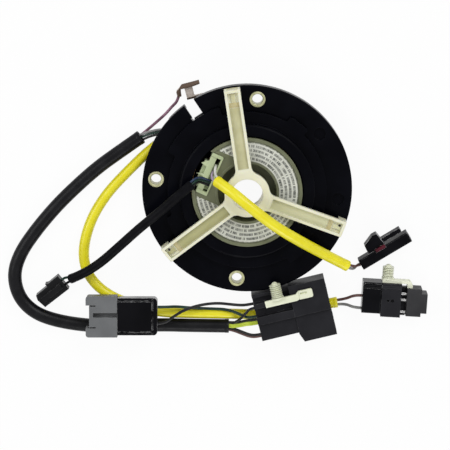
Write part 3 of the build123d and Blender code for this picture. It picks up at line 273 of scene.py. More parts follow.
cordRoutes = {  # diameter and points of each route, in millimetres
    "airbag_lead_sleeve": (6.0, [
        (-16.6, 5.4, 31.2), (-8.9, 2.2, 37.6), (1.6, -4.6, 39.6), (16.4, -14.3, 37.2),
        (31.6, -22.2, 31.6), (46.3, -30.3, 20.0), (58.85, -35.9, 15.4),
    ]),
    "airbag_wire_white": (1.4, [
        (-18.58, 12.57, 21.4), (-18.58, 12.57, 24.7), (-18.9, 10.6, 27.6), (-18.2, 8.1, 29.3),
        (-15.97, 6.54, 31.14),
    ]),
    "airbag_wire_lilac": (1.4, [
        (-19.6, 9.33, 21.4), (-19.6, 9.33, 24.4), (-20.3, 8.0, 27.0), (-19.5, 5.7, 29.3),
        (-17.4, 4.3, 31.05),
    ]),
    "airbag_wire_brown": (1.5, [
        (58.5, -34.9, 15.6), (61.6, -36.2, 13.2), (64.0, -37.2, 9.6), (65.2, -37.3, 7.2),
        (66.4, -36.9, 6.2), (67.46, -36.57, 6.2),
    ]),
    "airbag_wire_grey": (1.5, [
        (58.3, -36.4, 15.5), (61.4, -38.1, 12.6), (63.8, -38.9, 8.0), (64.9, -38.3, 4.8),
        (66.2, -37.4, 3.2), (67.46, -36.57, 3.2),
    ]),
    "switch_lead_sleeve": (5.2, [
        (-31.0, 1.5, 29.2), (-37.5, -5.2, 31.0), (-46.5, -15.3, 29.6), (-56.0, -26.0, 24.5),
        (-66.0, -38.6, 18.5), (-75.5, -50.0, 14.6), (-84.5, -57.4, 13.7), (-90.3, -61.4, 9.4),
    ]),
    "switch_wire_blue": (1.2, [
        (-20.1, 3.93, 23.0), (-23.58, 5.02, 23.0), (-26.8, 5.8, 24.9), (-29.0, 5.13, 27.4),
        (-30.6, 3.83, 28.8), (-31.93, 2.49, 29.15),
    ]),
    "switch_wire_green": (1.2, [
        (-20.49, 2.69, 23.0), (-23.97, 3.78, 23.0), (-26.9, 4.5, 24.9), (-28.6, 3.9, 27.4),
        (-29.65, 2.89, 28.8), (-30.95, 1.55, 29.15),
    ]),
    "switch_wire_grey": (1.2, [
        (-20.88, 1.45, 23.0), (-24.36, 2.54, 23.0), (-27.0, 3.2, 24.9), (-28.2, 2.67, 27.4),
        (-28.7, 1.95, 28.8), (-29.98, 0.61, 29.15),
    ]),
    "switch_plug_wire_a": (1.4, [
        (-89.75, -62.33, 9.37), (-91.0, -63.4, 8.1), (-92.0, -64.4, 6.2), (-92.8, -65.15, 5.0),
        (-93.72, -66.07, 5.0),
    ]),
    "switch_plug_wire_b": (1.4, [
        (-91.05, -60.6, 9.28), (-92.5, -61.3, 8.0), (-94.0, -62.1, 6.2), (-95.1, -63.0, 5.0),
        (-96.02, -63.87, 5.0),
    ]),
    "main_sleeve_yellow": (5.8, [
        (-43.17, 26.69, 3.75), (-47.5, 21.2, 3.75), (-56.0, 13.0, 2.95), (-66.9, -0.4, 2.95),
        (-76.5, -13.4, 2.95), (-83.5, -28.5, 2.95), (-86.2, -44.8, 2.95), (-83.8, -56.6, 2.95),
        (-77.5, -64.8, 2.95), (-67.5, -70.9, 2.95), (-54.5, -74.4, 2.95), (-40.1, -76.6, 2.95),
        (-21.0, -75.0, 2.95), (-1.6, -73.1, 2.95), (13.2, -72.0, 2.95), (27.5, -68.6, 2.95),
        (42.0, -63.9, 2.95), (56.5, -60.1, 2.95),
    ]),
    "main_sleeve_black": (7.6, [
        (-61.4, 20.1, 3.85), (-72.3, 10.5, 3.85), (-82.6, 1.1, 3.85), (-93.4, -10.9, 3.85),
        (-103.5, -23.4, 3.85), (-113.2, -38.1, 3.85), (-120.3, -51.4, 3.85), (-122.9, -63.6, 3.85),
        (-119.5, -75.2, 3.85), (-111.5, -83.2, 3.85), (-100.2, -87.2, 3.85), (-82.0, -88.6, 3.85),
        (-61.5, -87.0, 3.85), (-40.1, -83.5, 3.85), (-21.0, -81.9, 3.85), (-1.9, -80.0, 3.85),
    ]),
    "stator_wire_grey": (1.3, [
        (-44.23, 27.52, 9.3), (-45.3, 26.5, 9.3), (-47.9, 26.9, 9.2), (-51.0, 26.7, 8.4),
        (-55.9, 24.8, 6.6), (-60.5, 22.5, 5.2), (-62.38, 21.36, 5.0),
    ]),
    "stator_wire_green": (1.3, [
        (-42.97, 26.53, 9.3), (-44.1, 25.4, 9.3), (-47.0, 25.8, 9.2), (-50.4, 25.5, 8.4),
        (-55.3, 23.7, 6.6), (-59.6, 21.3, 5.2), (-61.35, 20.16, 5.0),
    ]),
    "stator_wire_black": (1.3, [
        (-41.71, 25.55, 9.3), (-42.9, 24.5, 9.3), (-46.2, 24.7, 9.2), (-49.8, 24.3, 8.4),
        (-54.7, 22.5, 6.6), (-58.7, 20.1, 5.2), (-60.3, 18.95, 5.0),
    ]),
    "ground_wire_pink": (1.6, [
        (-61.76, 20.6, 2.0), (-58.9, 23.3, 1.6), (-53.6, 28.9, 1.0), (-48.7, 34.4, 1.0),
        (-45.6, 39.0, 1.2), (-42.95, 42.3, 1.5), (-42.6, 46.15, 1.5),
    ]),
    "link_wire_green": (1.6, [
        (-41.51, -71.66, 12.02), (-37.0, -71.2, 12.0), (-31.5, -70.9, 9.0), (-23.6, -71.6, 5.6),
        (-12.6, -71.2, 4.2), (-3.0, -70.0, 6.0), (4.8, -71.4, 10.0), (9.1, -72.15, 13.0),
        (13.35, -70.6, 13.0),
    ]),
    "link_wire_black": (1.6, [
        (-40.51, -80.63, 13.19), (-36.6, -80.0, 13.2), (-32.2, -75.8, 12.8), (-26.5, -71.6, 11.6),
        (-18.4, -68.4, 9.6), (-9.0, -66.6, 8.0), (-0.5, -66.2, 9.8), (6.3, -65.18, 13.0),
        (10.79, -63.55, 13.0),
    ]),
    "fan_wire_black": (1.5, [
        (-1.7, -78.2, 4.8), (1.2, -77.5, 6.6), (3.5, -74.9, 10.0), (5.5, -72.0, 13.2),
        (7.2, -69.2, 14.5), (8.7, -66.66, 14.5), (11.54, -65.62, 14.5),
    ]),
    "fan_wire_lime": (1.5, [
        (-1.75, -80.0, 5.4), (1.7, -79.7, 6.0), (5.4, -78.3, 7.6), (8.6, -76.7, 9.6),
        (11.6, -75.85, 11.0), (14.85, -74.77, 11.0),
    ]),
    "fan_wire_brown": (1.5, [
        (-1.6, -81.8, 4.2), (2.0, -82.0, 4.8), (6.4, -82.8, 6.6), (10.8, -83.4, 9.2),
        (14.2, -82.82, 11.0), (17.38, -81.71, 11.0),
    ]),
    "airbag_feed_wire_brown": (1.6, [
        (56.25, -58.94, 2.95), (61.5, -57.5, 3.6), (66.2, -54.11, 6.0), (70.26, -53.9, 6.0),
    ]),
    "airbag_feed_wire_grey": (1.6, [
        (56.85, -61.25, 2.95), (61.7, -60.1, 3.3), (66.4, -61.2, 6.0), (70.64, -60.99, 6.0),
    ]),
}


def makeCord(name, finish, ownNode=True):
    # the route's points are the control points of one smooth line, which is given its thickness
    diameter, points = cordRoutes[name]
    line = bpy.data.curves.new(name + "Line", "CURVE")
    line.dimensions = "3D"
    line.bevel_depth = diameter / 2000
    line.bevel_resolution = 6
    line.resolution_u = 10
    line.use_fill_caps = True
    spline = line.splines.new("NURBS")
    spline.points.add(len(points) - 1)
    for spot, (x, y, z) in zip(spline.points, points):
        spot.co = (x / 1000, y / 1000, z / 1000, 1)
    spline.order_u = 3
    spline.use_endpoint_u = True
    tube = bpy.data.objects.new(name + "Lead", line)
    bpy.context.scene.collection.objects.link(tube)
    line.materials.append(finish)
    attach(tube, "housing")
    if ownNode:
        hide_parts(name)
    return tube


yellowVinyl = vinyl("yellowVinyl", (0.86, 0.765, 0.004), (0.91, 0.83, 0.016), 0.28, wrinkle=0.05)
blackVinyl = vinyl("blackVinyl", (0.0025, 0.0025, 0.0035), (0.007, 0.007, 0.0085), 0.3,
    wrinkle=0.7, Specular_IOR_Level=0.13)
mattVinyl = vinyl("mattVinyl", (0.002, 0.002, 0.003), (0.005, 0.005, 0.0065), 0.42,
    wrinkle=0.4, Specular_IOR_Level=0.05)
wireShades = {  # the darker and the lighter tone of each
    "white": ((0.62, 0.62, 0.58), (0.75, 0.75, 0.71)),
    "lilac": ((0.4, 0.32, 0.44), (0.52, 0.43, 0.55)),
    "brown": ((0.09, 0.045, 0.04), (0.17, 0.09, 0.08)),
    "grey": ((0.2, 0.2, 0.2), (0.32, 0.32, 0.31)),
    "blue": ((0.012, 0.022, 0.055), (0.03, 0.055, 0.12)),
    "green": ((0.007, 0.026, 0.018), (0.02, 0.056, 0.04)),
    "black": ((0.005, 0.005, 0.006), (0.012, 0.012, 0.013)),
    "pink": ((0.12, 0.05, 0.08), (0.33, 0.17, 0.24)),
    "lime": ((0.5, 0.62, 0.04), (0.65, 0.75, 0.1)),
}
wireFinish = {
    name: vinyl(name + "Wire", shade, light, 0.3, Specular_IOR_Level=0.22)
    for name, (shade, light) in wireShades.items()
}
leadFinish = {
    "airbag_lead_sleeve": yellowVinyl,
    "main_sleeve_yellow": yellowVinyl,
    "switch_lead_sleeve": mattVinyl,
    "main_sleeve_black": blackVinyl,
    "airbag_wire_white": wireFinish["white"],
    "airbag_wire_lilac": wireFinish["lilac"],
    "airbag_wire_brown": wireFinish["brown"],
    "airbag_wire_grey": wireFinish["grey"],
    "switch_wire_blue": wireFinish["blue"],
    "switch_wire_green": wireFinish["green"],
    "switch_wire_grey": wireFinish["black"],
    "switch_plug_wire_a": wireFinish["black"],
    "switch_plug_wire_b": wireFinish["green"],
    "stator_wire_grey": wireFinish["grey"],
    "stator_wire_green": wireFinish["green"],
    "stator_wire_black": wireFinish["black"],
    "ground_wire_pink": wireFinish["pink"],
    "link_wire_green": wireFinish["green"],
    "link_wire_black": wireFinish["black"],
    "fan_wire_black": wireFinish["black"],
    "fan_wire_lime": wireFinish["lime"],
    "fan_wire_brown": wireFinish["brown"],
    "airbag_feed_wire_brown": wireFinish["brown"],
    "airbag_feed_wire_grey": wireFinish["grey"],
}
leads = {name: makeCord(name, finish) for name, finish in leadFinish.items()}
spareWires = {  # wires that lie beside another: that one, how far off in millimetres, finish, slot
    "limeWireSecond": ("fan_wire_lime", (0.2, 1.3, 0.3), "lime", "lime_wire"),
    "blackWireSecond": ("fan_wire_lime", (0.3, 2.7, 0.7), "black", "black_wire"),
    "brownWireSecond": ("fan_wire_brown", (0.1, 1.2, 0.6), "black", "black_wire"),
}
for name, (beside, offset, shade, slotName) in spareWires.items():
    diameter, points = cordRoutes[beside]
    shifted = [tuple(c + d for c, d in zip(point, offset)) for point in points]
    cordRoutes[name] = (diameter, shifted)
    leads[name] = makeCord(name, wireFinish[shade], False)
print("leads made")


closeTo = 0.00005  # an edge this near a side counts as on it
smoothUnder = 40  # degrees between faces


def pick(kind, test):
    # in edit mode, selects the edges or faces whose middle passes the test
    bpy.ops.mesh.select_mode(type=kind)
    bpy.ops.mesh.select_all(action="DESELECT")
    mesh = bmesh.from_edit_mesh(bpy.context.object.data)
    if kind == "FACE":
        for face in mesh.faces:
            face.select_set(test(face.calc_center_median()))
    else:
        for edge in mesh.edges:
            edge.select_set(test((edge.verts[0].co + edge.verts[1].co) / 2))
    mesh.select_flush_mode()
    bmesh.update_edit_mesh(bpy.context.object.data)


def push(x, y, z, grow=None, turn=0.0, centre=(0, 0, 0)):
    # extrudes what is selected, in millimetres, then may scale and turn the new end
    step = (x / 1000, y / 1000, z / 1000)
    bpy.ops.mesh.extrude_region_move(TRANSFORM_OT_translate={"value": step})
    if grow:
        bpy.ops.transform.resize(value=grow)
    if turn:
        middle = [c / 1000 for c in centre]
        bpy.ops.transform.rotate(value=math.radians(turn), orient_axis="Z", center_override=middle)


def modify(kind, **settings):
    # adds a modifier to the piece at hand and applies it
    piece = bpy.context.object
    modifier = piece.modifiers.new(kind.title(), kind)
    for key, value in settings.items():
        setattr(modifier, key, value)
    bpy.ops.object.modifier_apply(modifier=modifier.name)


def finishPiece(name, body, finish, place=None, turned=None, node=None):
    # names a piece, puts its place into its mesh, gives it its body and finish, and hides the part
    # that is named
    piece = bpy.context.object
    piece.name = name
    if place:
        piece.location = place
    if turned:
        piece.rotation_euler = turned
    bpy.ops.object.transform_apply(location=True, rotation=True, scale=True)
    bpy.ops.object.shade_smooth_by_angle(angle=math.radians(smoothUnder))
    piece.data.materials.clear()
    piece.data.materials.append(finish)
    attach(piece, body)
    if node:
        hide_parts(node)
    piece.select_set(False)
    return piece


sleeveEnds = {  # cord, whether it is the route's last point, finish and slot
    "airbagSleeveStart": ("airbag_lead_sleeve", False, yellowVinyl, "yellow_sleeve"),
    "airbagSleeveEnd": ("airbag_lead_sleeve", True, yellowVinyl, "yellow_sleeve"),
    "yellowSleeveEnd": ("main_sleeve_yellow", True, yellowVinyl, "yellow_sleeve"),
    "switchSleeveStart": ("switch_lead_sleeve", False, mattVinyl, "black_sleeve"),
    "switchSleeveEnd": ("switch_lead_sleeve", True, mattVinyl, "black_sleeve"),
    "blackSleeveStart": ("main_sleeve_black", False, blackVinyl, "black_sleeve"),
    "blackSleeveEnd": ("main_sleeve_black", True, blackVinyl, "black_sleeve"),
}
sleeveEndSize = {  # millimetres
    "over": 0.06,
    "length": 2.2,
    "lip": 0.9,
    "wall": 0.6,
    "sink": 1.2,
    "softened": 0.1,
}


def makeSleeveEnd(name, route, atLast, finish, slotName):
    # the cut end of a tube: a rim with a wall round the hole that the wires come out of
    diameter, points = cordRoutes[route]
    tip, inner = (points[-1], points[-2]) if atLast else (points[0], points[1])
    outward = (Vector(tip) - Vector(inner)).normalized()
    size = sleeveEndSize
    place = Vector(tip) + outward * (size["lip"] - size["length"] / 2)
    radius = diameter / 2 + size["over"]
    depth = size["length"] / 1000
    bpy.ops.mesh.primitive_cylinder_add(vertices=36, radius=radius / 1000, depth=depth)
    bpy.ops.object.mode_set(mode="EDIT")
    pick("FACE", lambda middle: middle.z > depth / 2 - closeTo)
    bpy.ops.mesh.inset(thickness=size["wall"] / 1000)
    push(0, 0, -size["sink"])
    bpy.ops.object.mode_set(mode="OBJECT")
    modify("BEVEL", width=size["softened"] / 1000, segments=2, limit_method="ANGLE")
    turned = outward.to_track_quat("Z", "Y").to_euler()
    return finishPiece(name, "housing", finish, [c / 1000 for c in place], turned)


rims = {name: makeSleeveEnd(name, *spec) for name, spec in sleeveEnds.items()}
print("sleeve ends made")

# the rolled arms, above the plate, get a darker painted shade
clipBronze = brushed("clipBronze", (0.36, 0.31, 0.27), (0.56, 0.5, 0.45), 0.38, metal=0.5,
    shadedAbove=(0.0017, 0.0031, (0.1, 0.065, 0.045)))
groundClip = {
    "place": (-0.03717, 0.04828, 0.0013),
    "turned": 20.4,  # degrees, of the arms' direction
    "sheet": 0.00045,
    "softened": 0.0001,
    "plate": (4.4, 5.2),  # millimetres, as all that follows; roll and lowRoll step along y and z
    "roll": ((0.7, 0.1), (1.05, 0.6), (0.6, 0.95), (-0.3, 0.9), (-1.1, 0.5), (-1.0, -0.15)),
    "lowRoll": ((-0.6, 0.1), (-0.75, 0.55), (0.0, 0.8), (0.9, 0.5)),
    "arm": ((1.6, 1.6, 1.2), -0.03, (1, 0.94, 0.92)),  # steps out, drop and taper at each
    "lowArm": ((1.7, 1.7, 1.2), -0.08, (1, 0.9, 0.85)),
    "armShift": 0.1,
    "crimpStart": 1.1,
    "crimp": (  # x, y and turn
        (-1.2, 0.0, 20), (-1.1, -0.2, 25), (-0.85, -0.75, 25), (-0.45, -1.2, 20),
    ),
    "barrel": ((-0.1, -1.5, -0.1, 0.9), (0.0, -1.4, -0.1, 0.92)),  # x, y, z and taper
}


def makeGroundClip():
    # a sheet whose two long sides roll up into arms; one arm's other end is crimped on the wire
    clip = groundClip
    wide, deep = clip["plate"]
    bpy.ops.mesh.primitive_plane_add(size=0.001)
    bpy.ops.object.mode_set(mode="EDIT")
    bpy.ops.transform.resize(value=(wide, deep, 1))
    side, edge = wide / 2000, deep / 2000
    pick("EDGE", lambda middle: middle.y > edge - closeTo)
    for along, up in clip["roll"]:
        push(0, along, up)
    pick("EDGE", lambda middle: middle.y < closeTo - edge)
    for along, up in clip["lowRoll"]:
        push(0, along, up)
    steps, drop, taper = clip["arm"]
    pick("EDGE", lambda middle: middle.x > side - closeTo and middle.y > edge)
    for step in steps:
        push(step, clip["armShift"], drop, grow=taper)
    steps, drop, taper = clip["lowArm"]
    pick("EDGE", lambda middle: abs(middle.x - side) < closeTo and middle.y < -edge)
    for step in steps:
        push(step, clip["armShift"], drop, grow=taper)
    pick("EDGE", lambda middle: middle.x < closeTo - side and middle.y > edge)
    x, y = -side * 1000, edge * 1000 + clip["crimpStart"]
    for along, across, turn in clip["crimp"]:
        x, y = x + along, y + across
        push(along, across, 0, turn=turn, centre=(x, y, 1))
    for along, across, up, taper in clip["barrel"]:
        push(along, across, up, grow=(taper, 1, taper))
    bpy.ops.mesh.select_all(action="SELECT")
    bpy.ops.mesh.normals_make_consistent(inside=False)
    bpy.ops.object.mode_set(mode="OBJECT")
    modify("SOLIDIFY", thickness=clip["sheet"], offset=0)
    modify("BEVEL", width=clip["softened"], segments=1, limit_method="ANGLE")
    modify("SUBSURF", levels=2, render_levels=2)
    turned = (0, 0, math.radians(clip["turned"]))
    return finishPiece("groundClipSheet", "housing", clipBronze,
        clip["place"], turned, "ground_clip")


rims["groundClipSheet"] = makeGroundClip()
print("ground clip made")

rimOwners = {rim: spec[0] for rim, spec in sleeveEnds.items()}
rimOwners["groundClipSheet"] = "ground_wire_pink"
freeCords = {  # length, far end, stiffness, lay, then the wires and the plugs that go with it
    "airbag_lead_sleeve": (0.0955, "plug", "medium", "loose",
        ["airbag_wire_white", "airbag_wire_lilac", "airbag_wire_brown", "airbag_wire_grey"],
        ["airbag_plug", "airbag_plug_lock"]),
    "switch_lead_sleeve": (0.090, "plug", "medium", "loose",
        ["switch_wire_blue", "switch_wire_green", "switch_wire_grey",
            "switch_plug_wire_a", "switch_plug_wire_b"],
        ["switch_plug"]),
    "main_sleeve_yellow": (0.243, "plug", "medium", "loose",
        ["airbag_feed_wire_brown", "airbag_feed_wire_grey"],
        ["airbag_feed_plug", "airbag_feed_cover", "airbag_feed_socket", "airbag_feed_clip"]),
    "main_sleeve_black": (0.236, "connector", "medium", "loose",
        ["stator_wire_grey", "stator_wire_green", "stator_wire_black",
            "fan_wire_black", "fan_wire_lime", "fan_wire_brown",
            "limeWireSecond", "blackWireSecond", "brownWireSecond"],
        ["switch_feed_plug", "switch_feed_lock", "harness_plug_rear", "harness_plug_front",
            "harness_clip"]),
    "link_wire_green": (0.058, "connector", "limp", "loose", [], ["switch_feed_plug"]),
    "link_wire_black": (0.056, "connector", "limp", "loose", [], ["switch_feed_plug"]),
    "ground_wire_pink": (0.034, "fitting", "limp", "loose", [], []),
}
for name, (length, farEnd, stiffness, lay, wires, plugs) in freeCords.items():
    diameter, points = cordRoutes[name]
    [c / 1000 for c in points[0]]
    ([leads[w] for w in wires]
        + [nodes[p] for p in plugs]
        + [rims[r] for r, spec in rimOwners.items() if spec == name])


# Each finish: darker and lighter tone, then for plastic its rubbed edge colour, a painted highlight
# on plugGloss and plugShine, then roughness
housingBlack = moulded("housingBlack", (0.0012, 0.0013, 0.0026), (0.0026, 0.0028, 0.0048),
    (0.006, 0.0065, 0.009), 0.2, grain=700, depth=0.000012, edge=0.0005, Specular_IOR_Level=0.03)
plugBlack = moulded("plugBlack", (0.005, 0.005, 0.006), (0.011, 0.011, 0.012),
    (0.07, 0.07, 0.07), 0.3, grain=1100, Specular_IOR_Level=0.1)
# plugGloss and plugShine: the pale edge colour is a painted highlight along the edges
plugGloss = moulded("plugGloss", (0.002, 0.002, 0.003), (0.0045, 0.0045, 0.006),
    (0.55, 0.55, 0.56), 0.14, grain=1100, depth=0.00001, edge=0.00035, Specular_IOR_Level=0.05)
plugShine = moulded("plugShine", (0.004, 0.004, 0.005), (0.008, 0.008, 0.01),
    (0.85, 0.85, 0.87), 0.16, grain=1100, depth=0.00001, edge=0.00045, Specular_IOR_Level=0.015)
plugCharcoal = moulded("plugCharcoal", (0.011, 0.011, 0.0135), (0.018, 0.018, 0.0215),
    (0.09, 0.09, 0.095), 0.38, grain=1100, Specular_IOR_Level=0.1)
plugSlate = moulded("plugSlate", (0.03, 0.03, 0.032), (0.042, 0.042, 0.045),
    (0.12, 0.12, 0.125), 0.4, grain=1100, Specular_IOR_Level=0.1)
lockGrey = moulded("lockGrey", (0.1, 0.105, 0.11), (0.135, 0.14, 0.145),
    (0.28, 0.28, 0.28), 0.46, grain=1000)
rotorOlive = moulded("rotorOlive", (0.11, 0.12, 0.062), (0.155, 0.168, 0.092),
    (0.34, 0.35, 0.25), 0.42, grain=800)
guideCream = moulded("guideCream", (0.42, 0.5, 0.28), (0.53, 0.6, 0.37),
    (0.74, 0.79, 0.58), 0.42, grain=800)
lockRed = moulded("lockRed", (0.03, 0.002, 0.006), (0.09, 0.006, 0.016),
    (0.2, 0.02, 0.04), 0.25, Specular_IOR_Level=0.2)
clipIvory = moulded("clipIvory", (0.8, 0.83, 0.63), (0.89, 0.91, 0.73),
    (0.93, 0.94, 0.82), 0.38)
ribbonFilm = moulded("ribbonFilm", (0.45, 0.24, 0.07), (0.6, 0.34, 0.12),
    (0.7, 0.45, 0.2), 0.25, grain=600)
eyeletMetal = brushed("eyeletMetal", (0.38, 0.38, 0.2), (0.54, 0.53, 0.32), 0.28, metal=0.55)
pinSilver = brushed("pinSilver", (0.3, 0.3, 0.3), (0.55, 0.55, 0.54), 0.28)

labelPrint = {
    "innerRow": 0.0176,
    "rowPitch": 0.0023,
    "rowTurn": 7.3,  # dashes that each row is turned by
    "letterFoot": 0.22,  # shares of a row
    "letterHeight": 0.6,
    "dashLength": 0.00098,
    "dashRows": 14.0,  # the inner row holds the dashes of a circle this many rows out
    "dashStart": 0.06,  # shares of a dash's place: where it starts and may end
    "dashShort": 0.42,
    "dashSpread": 0.52,
    "blank": 0.16,  # share of places with no dash
    "strokeScale": 2200,
    "faded": 0.68,  # strength of the ink where it is most faded
    "film": (0.59, 0.6, 0.53),
    "filmWorn": (0.69, 0.7, 0.63),
    "ink": (0.025, 0.03, 0.025),
}


def makeLabelFilm():
    # printed film: rows of plain dashes on circles round the axis, faded in patches
    label = labelPrint
    finish = Finish("labelFilm", Specular_IOR_Level=0.4)
    reach, angle = finish.polar()
    row = (reach - label["innerRow"]) / label["rowPitch"]
    level = row.floor()
    height = row - level
    perRow = label["rowPitch"] / label["dashLength"]
    steps = angle * ((level + label["dashRows"]) * perRow) + level * label["rowTurn"]
    cell = steps.floor()
    along = steps - cell
    spot = finish.add("ShaderNodeCombineXYZ", {}, {0: cell, 1: level})
    chance = finish.add("ShaderNodeTexWhiteNoise", {"noise_dimensions": "2D"}, {0: spot})
    line = height.within(label["letterFoot"], label["letterFoot"] + label["letterHeight"])
    dash = along.within(label["dashStart"], label["dashShort"] + label["dashSpread"] * chance)
    strokes = finish.noise(label["strokeScale"], 1, (1, 1, 0.2)).between(0.27, 0.35)
    inked = line * dash * (chance > label["blank"]) * strokes
    fade = label["faded"] + (1 - label["faded"]) * finish.noise(150, 3).between(0.25, 0.6)
    film = finish.mix(finish.noise(90, 3).between(0.3, 0.7), label["film"], label["filmWorn"])
    return finish.close(
        Base_Color=finish.mix((inked * fade).held(), film, label["ink"]),
        Roughness=0.42 + 0.2 * finish.noise(300, 3).between(0.4, 0.8) - 0.1 * inked,
        Normal=finish.bump(finish.noise(220, 2), 0.00006),
    )


retainerTint = {
    "bearing": 104.9,  # degrees, of one arm
    "top": 0.0306,
    "hubReach": 0.0123,  # past it the arms' tops slope down
    "slope": 0.149,
    "halfChannel": 0.003,  # half the width of the channel along an arm
    "channelStart": 0.0136,
    "channelTop": 0.0004,  # depths under an arm's top
    "pocketDepth": (0.0021, 0.0029),
    "pitDepth": (0.00262, 0.0034),
    "fullDepth": 0.006,
    "pitReach": (0.0524, 0.0547),  # out along an arm
    "pocketShadowEnd": 0.0496,  # the painted shadow in the pocket ends here
    "armSide": 0.008,  # the two lower arms start this far to each side
    "rail": (0.82, 0.81, 0.60),
    "railLight": (0.88, 0.87, 0.69),
    "railRubbed": (0.9, 0.89, 0.8),
    "floor": (0.48, 0.46, 0.24),
    "floorLight": (0.60, 0.58, 0.34),
    "floorPaintedShade": (0.36, 0.35, 0.13),  # painted shade on the channel floor of the arm at the lower left
    "floorPaintedLight": (0.66, 0.66, 0.42),  # painted light on the channel floor of the arm at the right
    # the pocket at each arm's end and the pit deeper in: painted shadow
    "pocket": (0.56, 0.47, 0.20),
    "pitShadow": (0.02, 0.018, 0.015),
}


def makeRetainerNylon():
    # ivory nylon, thin enough in the channels for the dark parts under it to tint it; with painted
    # shade on the sides lower down, in the end pockets and pits and on one lower arm's channel, and
    # painted light on the other lower arm's channel
    tint = retainerTint
    finish = Finish("retainerNylon", Subsurface_Weight=0.12, Subsurface_Scale=0.002,
        Subsurface_Radius=(0.9, 0.7, 0.35))
    reach, angle = finish.polar()
    third = 2 * math.pi / 3
    turned = angle - math.radians(tint["bearing"]) + third / 2 + 2 * math.pi
    folded = turned.math("FLOORED_MODULO", turned, third) - third / 2
    across = (reach * folded.math("SINE", folded)).size()
    along = reach * folded.math("COSINE", folded)
    under = tint["top"] - tint["slope"] * (along - tint["hubReach"]) - finish.z
    inside = (across < tint["halfChannel"]) * (along > tint["channelStart"])
    inside = inside * (under > tint["channelTop"])
    pocket = inside * under.within(*tint["pocketDepth"])
    pocketShadow = pocket * (along < tint["pocketShadowEnd"])
    pitShadow = inside * under.within(*tint["pitDepth"]) * along.within(*tint["pitReach"])
    cloud = finish.noise(110, 3)
    patches = cloud.between(0.3, 0.7)
    rounded, rim = finish.edges(0.0005)
    floor = finish.mix(patches, tint["floor"], tint["floorLight"])
    # painted shade on the lower-left arm's channel floor, painted light on the right arm's
    lowArms = (finish.y < 0.0) * 0.8
    floor = finish.mix((finish.x < -tint["armSide"]) * lowArms, floor, tint["floorPaintedShade"])
    floor = finish.mix((finish.x > tint["armSide"]) * lowArms, floor, tint["floorPaintedLight"])
    # painted shade: outside the channels, darker the lower a surface lies under the top
    low = (1 - inside) * (under / tint["fullDepth"]).held() * 0.25
    colour = finish.mix(patches, tint["rail"], tint["railLight"])
    colour = finish.mix(low * (1 - pocket), colour, tint["floorLight"])
    colour = finish.mix(inside * (1 - pocket) * 0.9, colour, floor)
    # painted shadow in the pocket, then black painted shadow in the pit
    colour = finish.mix(pocketShadow * 0.75, colour, tint["pocket"])
    colour = finish.mix(pitShadow, colour, tint["pitShadow"])
    colour = finish.mix(rim * 0.6, colour, tint["railRubbed"])
    return finish.close(
        Base_Color=colour,
        Roughness=0.34 + 0.15 * finish.noise(200, 3).between(0.4, 0.75),
        Normal=finish.bump(finish.noise(900, 2) * 0.3 + cloud * 0.6, 0.00012, rounded),
    )


nodeFinish = {
    "housing_base": housingBlack,
    "housing_cover": housingBlack,
    "stator_terminal_block": housingBlack,
    "rotor": rotorOlive,
    "rotor_ring": rotorOlive,
    "rotor_label": makeLabelFilm(),
    "rotor_wire_guide": guideCream,
    "rotor_terminal_block": guideCream,
    "ribbon_cable": ribbonFilm,
    "eyelet_top": eyeletMetal,
    "eyelet_left": eyeletMetal,
    "eyelet_bottom": eyeletMetal,
    "retainer": makeRetainerNylon(),
    "airbag_plug": plugShine,
    "airbag_plug_lock": lockRed,
    "switch_plug": plugBlack,
    "switch_feed_plug": plugGloss,
    "switch_feed_lock": lockGrey,
    "harness_plug_rear": plugCharcoal,
    "harness_plug_front": plugCharcoal,
    "harness_clip": clipIvory,
    "airbag_feed_plug": plugGloss,
    "airbag_feed_cover": plugCharcoal,
    "airbag_feed_socket": plugSlate,
    "airbag_feed_clip": clipIvory,
    "airbag_feed_pin_1": pinSilver,
    "airbag_feed_pin_2": pinSilver,
    "airbag_feed_pin_3": pinSilver,
}
for name, finish in nodeFinish.items():
    for holder in nodes[name].material_slots:
        holder.material = finish
print("finishes set")

clipTongue = {  # millimetres
    "corner": (13.3, -70.3),  # the harness plug's own, and its bearing in degrees
    "bearing": 20.0,
    "middle": (29.55, 7.85),  # from that corner, along the plug's own axes
    "size": (7.6, 4.9, 1.5),
    "foot": 21.1,
    "endRadius": 1.1,
    "topRadius": 0.4,
    "slot": (-1.2, 0.9, 3.7, 1.0, 1.1),  # its middle, size and depth in the tongue
}


